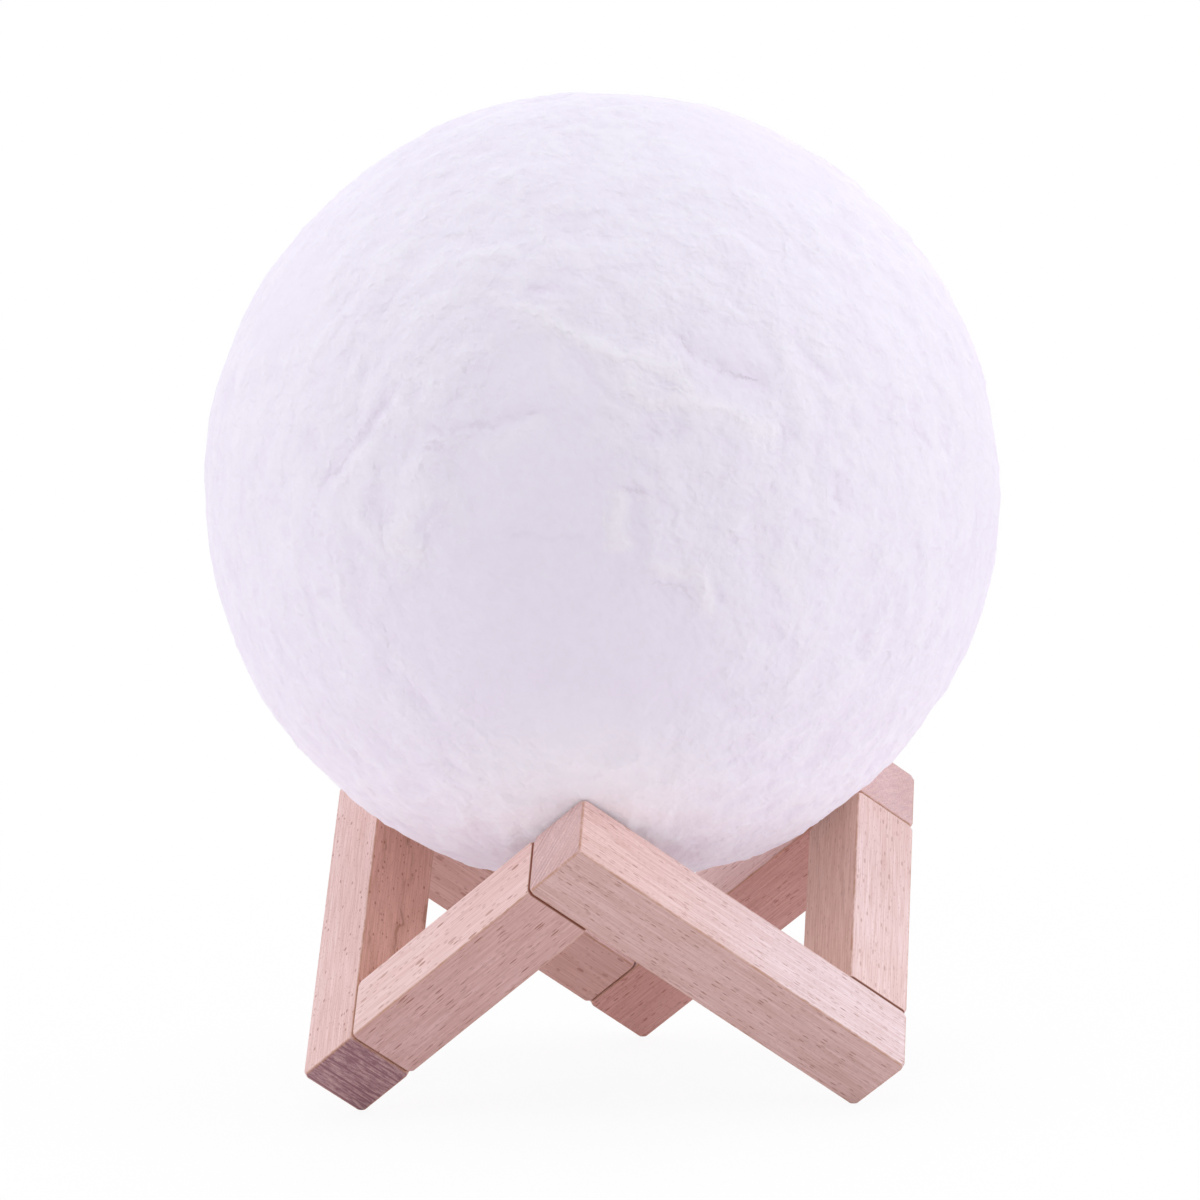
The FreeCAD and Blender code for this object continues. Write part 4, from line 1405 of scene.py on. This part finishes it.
@dataclass
class MoonGlobe:
    """The printed shell: a moon outside, a plain wall and seat inside.

    Lengths are in millimetres; heights of the seat are above the row frame's
    ground. The relief fades out over rim_fade above the opening.
    """

    centre_height: float = 113.356
    shell_radius: float = 74.2
    inner_radius: float = 72.2
    opening_radius: float = 19.4
    lip: float = 0.3
    seat_radius: float = 17.6
    seat_height: float = 43.74
    collar_radius: float = 21.4
    collar_top: float = 49.74
    face_height: float = 41.74
    rim_fade: tuple[float, float] = (0.4, 3.2)
    cuts: int = 116
    spin_steps: int = 120
    wall_steps: int = 40
    relief: MoonRelief = field(default_factory=MoonRelief)

    def build(self, tips: list[Vector]) -> None:
        """Make and dress the globe's shell.

        Args:
            tips: the three points that carry the globe, in metres.
        """
        sheet = self._ball()
        middle = Vector((0, 0, self.centre_height))
        directions = np.array([vert.co.normalized() for vert in sheet.verts])
        heights, marks = self.relief.heights(directions, [tip / MM - middle for tip in tips])
        cut = self.face_height + self.lip - self.centre_height
        above = directions[:, 2] * self.shell_radius - cut
        heights = heights * smooth_step(above, *self.rim_fade)
        for vert, way, height in zip(sheet.verts, directions, heights):
            vert.co = Vector(way) * (self.shell_radius + height) + middle
        layers = sheet.verts.layers
        for name in marks:
            layers.float.new(name)
        for name, values in marks.items():
            layer = layers.float[name]
            for vert, value in zip(sheet.verts, values.tolist()):
                vert[layer] = value
        self._close(sheet)
        bmesh.ops.scale(sheet, vec=Vector((MM, MM, MM)), verts=sheet.verts)
        moon = piece_from("moon_globe", sheet, 55)
        moon.data.materials.append(MoonFinish("printed_moon", tuple(middle * MM)).make())
        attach(moon, "globe")
        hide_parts("moon_shell")
        log.info("globe %s: %d faces", moon.name, len(moon.data.polygons))

    def _ball(self) -> bmesh.types.BMesh:
        """Cut a cube evenly and blow it up to a ball of even cells.

        Returns:
            The ball.
        """
        sheet = bmesh.new()
        bmesh.ops.create_cube(sheet, size=2.0)
        bmesh.ops.subdivide_edges(sheet, edges=sheet.edges[:], cuts=self.cuts, use_grid_fill=True)
        for vert in sheet.verts:
            vert.co = Vector(math.tan(part * math.pi / 4) for part in vert.co).normalized()
        return sheet

    def _close(self, sheet: bmesh.types.BMesh) -> None:
        """Cut the opening and join it to the seat, the collar and the inner wall.

        Args:
            sheet: the ball.
        """
        bmesh.ops.bisect_plane(
            sheet, geom=sheet.verts[:] + sheet.edges[:] + sheet.faces[:], dist=1e-5,
            plane_co=Vector((0, 0, self.face_height + self.lip)), plane_no=Vector((0, 0, -1)),
            clear_outer=True,
        )
        rim = [edge for edge in sheet.edges if edge.is_boundary]
        bmesh.ops.bridge_loops(sheet, edges=rim + self._inside(sheet))
        bmesh.ops.triangulate(sheet, faces=[f for f in sheet.faces if len(f.verts) > 4])
        bmesh.ops.recalc_face_normals(sheet, faces=sheet.faces)

    def _inside(self, sheet: bmesh.types.BMesh) -> list[bmesh.types.BMEdge]:
        """Spin the lip, seat, collar and inner wall about the globe's axis.

        Args:
            sheet: the bmesh that they are added to.

        Returns:
            The edges of the lip that the outer ball is joined to.
        """
        outline = [
            (self.opening_radius + self.lip, self.face_height),
            (self.opening_radius, self.face_height + self.lip * 0.5),
            (self.opening_radius, self.seat_height),
            (self.seat_radius, self.seat_height),
            (self.seat_radius, self.collar_top),
            (self.collar_radius, self.collar_top),
        ]
        wall_low = math.sqrt(self.inner_radius**2 - self.collar_radius**2)
        first = -math.asin(wall_low / self.inner_radius)
        for step in range(self.wall_steps + 1):
            lift = first + (math.pi / 2 - first) * step / self.wall_steps
            radius = self.inner_radius * math.cos(lift) if step < self.wall_steps else 0.0
            outline.append((radius, self.centre_height + self.inner_radius * math.sin(lift)))
        inside = bmesh.new()
        verts = [inside.verts.new((radius, 0, height)) for radius, height in outline]
        edges = [inside.edges.new(pair) for pair in zip(verts, verts[1:])]
        bmesh.ops.spin(
            inside, geom=verts + edges, cent=(0, 0, 0), axis=(0, 0, 1), angle=math.tau,
            steps=self.spin_steps, use_merge=True,
        )
        bmesh.ops.remove_doubles(inside, verts=inside.verts, dist=0.01)
        mesh = bpy.data.meshes.new("inside")
        inside.to_mesh(mesh)
        inside.free()
        sheet.from_mesh(mesh)
        bpy.data.meshes.remove(mesh)
        return [
            edge
            for edge in sheet.edges
            if edge.is_boundary and all(abs(v.co.z - self.face_height) < 1e-4 for v in edge.verts)
        ]


# -------------------------------------------------------------- light unit


class Slot(Enum):
    """The record's slots of the kept solids."""

    DOWEL = "dowel_wood"
    CASE = "white_plastic"
    BUTTON = "button_plastic"
    SCREW = "screw_steel"
    GREEN_BOARD = "green_board"
    WHITE_BOARD = "white_board"
    POUCH = "pouch_foil"
    FOAM = "black_foam"
    IVORY = "ivory_plastic"
    BLACK_WIRE = "black_wire"
    RED_WIRE = "red_wire"
    WHITE_WIRE = "white_wire"
    BLACK = "black_plastic"
    CERAMIC = "tan_ceramic"
    SOCKET = "socket_steel"
    INDICATOR = "indicator_plastic"
    CLEAR = "clear_plastic"
    PACKAGE = "light_package_plastic"
    LENS = "light_lens_resin"


@dataclass
class LightUnit:
    """The base cap, the lamp housing and all that they hold, and the dowels."""

    dressings: tuple[tuple[Slot, Finish, tuple[str, ...]], ...] = (
        (Slot.DOWEL, BeechFinish("dowel_beech", Wood(
            (3.0, 2.0, 0.6), foot_end=0.0, end_colour=(0.42, 0.24, 0.235), shade_tint=WHITE,
            figure=0.0)), ("corner_dowels",)),
        (Slot.CASE, MouldedFinish("case_plastic", (0.80, 0.79, 0.775), 0.5, 2.4, 0.03),
         ("base_cap", "lamp_housing")),
        (Slot.BUTTON, MouldedFinish(
            "smooth_button", (0.74, 0.74, 0.745), 0.28, 1.5, 0.008, coat=0.3), ("power_button",)),
        (Slot.SCREW, PlatedFinish("screw_zinc", (0.62, 0.62, 0.64), 0.32),
         ("housing_screws", "light_board_screws")),
        (Slot.GREEN_BOARD, BoardFinish("board_green", (0.02, 0.13, 0.06), (0.08, 0.3, 0.12)),
         ("main_board", "battery_guard_board")),
        (Slot.WHITE_BOARD, BoardFinish("board_white", (0.8, 0.8, 0.78), (0.6, 0.6, 0.57)),
         ("light_board",)),
        (Slot.POUCH, FoilFinish("cell_foil", (0.7, 0.7, 0.72)), ("battery_cell",)),
        (Slot.FOAM, FoamFinish("pad_foam", (0.03, 0.03, 0.03)), ("battery_pads",)),
        (Slot.IVORY, MouldedFinish("connector_ivory", (0.8, 0.73, 0.55), 0.5),
         ("battery_socket", "battery_plug", "light_socket", "light_plug")),
        (Slot.BLACK_WIRE, MouldedFinish("wire_black", (0.02, 0.02, 0.02), 0.5, 1.2, 0.02),
         ("battery_wire_black",)),
        (Slot.RED_WIRE, MouldedFinish("wire_red", (0.5, 0.02, 0.015), 0.5, 1.2, 0.02),
         ("battery_wire_red",)),
        (Slot.WHITE_WIRE, MouldedFinish("wire_white", (0.72, 0.72, 0.7), 0.5, 1.2, 0.02),
         ("light_wires",)),
        (Slot.BLACK, MouldedFinish("moulded_black", (0.025, 0.025, 0.027), 0.55, 4.0, 0.02),
         ("control_chip", "charge_chip", "resistors", "usb_tongue", "switch_body",
          "switch_plunger")),
        (Slot.CERAMIC, MouldedFinish("ceramic_tan", (0.38, 0.24, 0.13), 0.5, 5.0, 0.01),
         ("capacitors",)),
        (Slot.SOCKET, PlatedFinish("socket_nickel", (0.68, 0.67, 0.65), 0.24, (9.0, 0.6, 0.6)),
         ("usb_shell",)),
        (Slot.INDICATOR, MouldedFinish(
            "indicator_resin", (0.8, 0.72, 0.5), 0.2, 1.0, 0.002, clear=0.5),
         ("charge_indicator",)),
        (Slot.CLEAR, MouldedFinish(
            "light_pipe_clear", (0.88, 0.9, 0.9), 0.12, 1.0, 0.002, clear=0.85), ("light_pipe",)),
        (Slot.PACKAGE, MouldedFinish("light_package", (0.82, 0.82, 0.8), 0.35),
         ("light_packages",)),
        (Slot.LENS, MouldedFinish("lens_phosphor", (0.83, 0.6, 0.09), 0.3, 8.0, 0.01),
         ("light_lenses",)),
    )

    def dress(self) -> None:
        """Give each kept solid its finish."""
        for slot, finish, names in self.dressings:
            material = finish.make()
            for name in names:
                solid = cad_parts[name]
                solid.data.materials.clear()
                solid.data.materials.append(material)
                log.info("solid %s: %s", name, material.name)


# ------------------------------------------------------------------ studio


@dataclass(frozen=True)
class Softbox:
    """A large soft lamp; size is its side and power is in watts.

    One that casts no shadow stands for the light that a bright table sends up.
    """

    name: str
    location: Point
    aim_height: float
    size: float
    power: float
    colour: Colour = (0.985, 0.985, 1.05)
    casts_shadow: bool = True

    def hang(self) -> None:
        """Add the lamp to the scene, aimed at a point on the globe's axis."""
        light = bpy.data.lights.new(self.name, "AREA")
        light.shape = "SQUARE"
        light.size = self.size
        light.energy = self.power
        light.color = self.colour
        light.use_shadow = self.casts_shadow
        lamp = linked(self.name, light)
        lamp.matrix_world = aimed(Vector(self.location), Vector((0, 0, self.aim_height)))
        lamp.visible_camera = False


@dataclass
class Studio:
    """Camera, white floor, soft lamps and pale surroundings.

    Angles are in degrees. The floor's own light climbs over glow_reach from
    the stand, between the two shares in glow.
    """

    azimuth: float = 5.3856
    elevation: float = 5.6808
    roll: float = -1.6992
    distance: float = 1.30215
    target: Point = (-0.0010, 0.0, 0.09249)
    lens: float = 206.28
    floor_radius: float = 60.0
    floor_bounce: Colour = (0.88, 0.84, 0.85)
    glow: tuple[float, float] = (0.9, 1.0)
    glow_reach: tuple[float, float] = (0.14, 0.42)
    fill_front: float = 0.29
    fill_back: float = 0.86
    fill_colour: Colour = (1.0, 0.965, 1.04)
    lamps: tuple[Softbox, ...] = (
        Softbox("top_lamp", (0.1, 0.2, 1.5), 0.1, 1.0, 3.5),
        Softbox("front_lamp", (0.0, -0.9, 1.15), 0.08, 0.9, 3.72),
        Softbox("left_lamp", (-1.28, -0.2, 0.46), 0.06, 0.85, 4.4),
        Softbox("right_lamp", (1.28, -0.2, 0.46), 0.06, 0.85, 4.65),
        Softbox("back_lamp", (0.0, 1.2, 0.3), 0.08, 0.8, 2.1),
        Softbox("floor_glow", (0.0, 0.0, -1.2), 0.1, 1.2, 3.4, (0.95, 0.99, 1.12), False),
    )

    def build(self) -> None:
        """Add all of it to the scene."""
        self._camera()
        self._floor()
        self._surroundings()
        for lamp in self.lamps:
            lamp.hang()
        bpy.context.scene.view_settings.view_transform = "Standard"
        log.info("studio: %d lamps", len(self.lamps))

    def _camera(self) -> None:
        """Stand the camera where the photograph was taken from."""
        data = bpy.data.cameras.new("camera")
        data.lens = self.lens
        data.sensor_width = 36.0
        data.clip_start, data.clip_end = 0.05, 120.0
        camera = linked("camera", data)
        target = Vector(self.target)
        stand = target + bearing(self.azimuth, self.elevation) * self.distance
        camera.matrix_world = aimed(stand, target, math.radians(self.roll))
        bpy.context.scene.camera = camera

    def _seen(self, bench: NodeBench, *rays: str) -> Value:
        """Tell what the camera sees from what only lights the scene.

        Args:
            bench: the node tree.
            rays: outputs of the light path that count as seen too.

        Returns:
            1 for light that goes straight to the camera or by one of the rays.
        """
        paths = bench.add("LightPath")
        seen = paths.out("Is Camera Ray")
        for ray in rays:
            seen = seen.most(paths.out(ray))
        return seen

    def _floor(self) -> None:
        """Lay a round white floor that shows its shadow and nothing from below."""
        sheet = bmesh.new()
        bmesh.ops.create_circle(sheet, cap_ends=True, segments=96, radius=self.floor_radius)
        floor = piece_from("floor", sheet, 80)
        bench = FinishBench("white_floor")
        seen = self._seen(bench, "Is Glossy Ray")
        tone = seen.between(self.floor_bounce, WHITE)
        bench.set(Base_Color=tone, Roughness=0.9, Specular_IOR_Level=0.0)
        glow = bench.add("Emission", {"Color": WHITE})
        away = bench.place.out("Object").length()
        lit = seen * away.ramp(*self.glow_reach, *self.glow)
        above = bench.add("MixShader", {0: lit, 1: bench.surface, 2: glow})
        back, clear = bench.add("NewGeometry").out("Backfacing"), bench.add("BsdfTransparent")
        bench.show(bench.add("MixShader", {0: back, 1: above, 2: clear}))
        floor.data.materials.append(bench.material)

    def _surroundings(self) -> None:
        """White behind the lamp, and a soft fill that is weaker from the front."""
        world = bpy.data.worlds.new("surroundings")
        bpy.context.scene.world = world
        world.use_nodes = True
        bench = NodeBench(world.node_tree, "OutputWorld")
        lean = bench.place.out("Generated").dot((0.0, 1.0, 0.0))
        ends = {"From Min": -1.0, "To Min": self.fill_front, "To Max": self.fill_back}
        strength = bench.add("MapRange", {"Value": lean} | ends)
        fill = bench.add("Background", {"Color": self.fill_colour, "Strength": strength})
        white = bench.add("Background", {"Color": WHITE, "Strength": 1.0})
        seen = self._seen(bench, "Is Glossy Ray", "Is Transmission Ray")
        bench.show(bench.add("MixShader", {0: seen, 1: fill, 2: white}))


def main() -> None:
    """Build every piece in order."""
    logging.basicConfig(level=logging.INFO, format="%(name)s: %(message)s")
    Studio().build()
    cradle = Cradle()
    cradle.build()
    MoonGlobe().build(cradle.tips())
    LightUnit().dress()


if __name__ == "__main__":
    main()
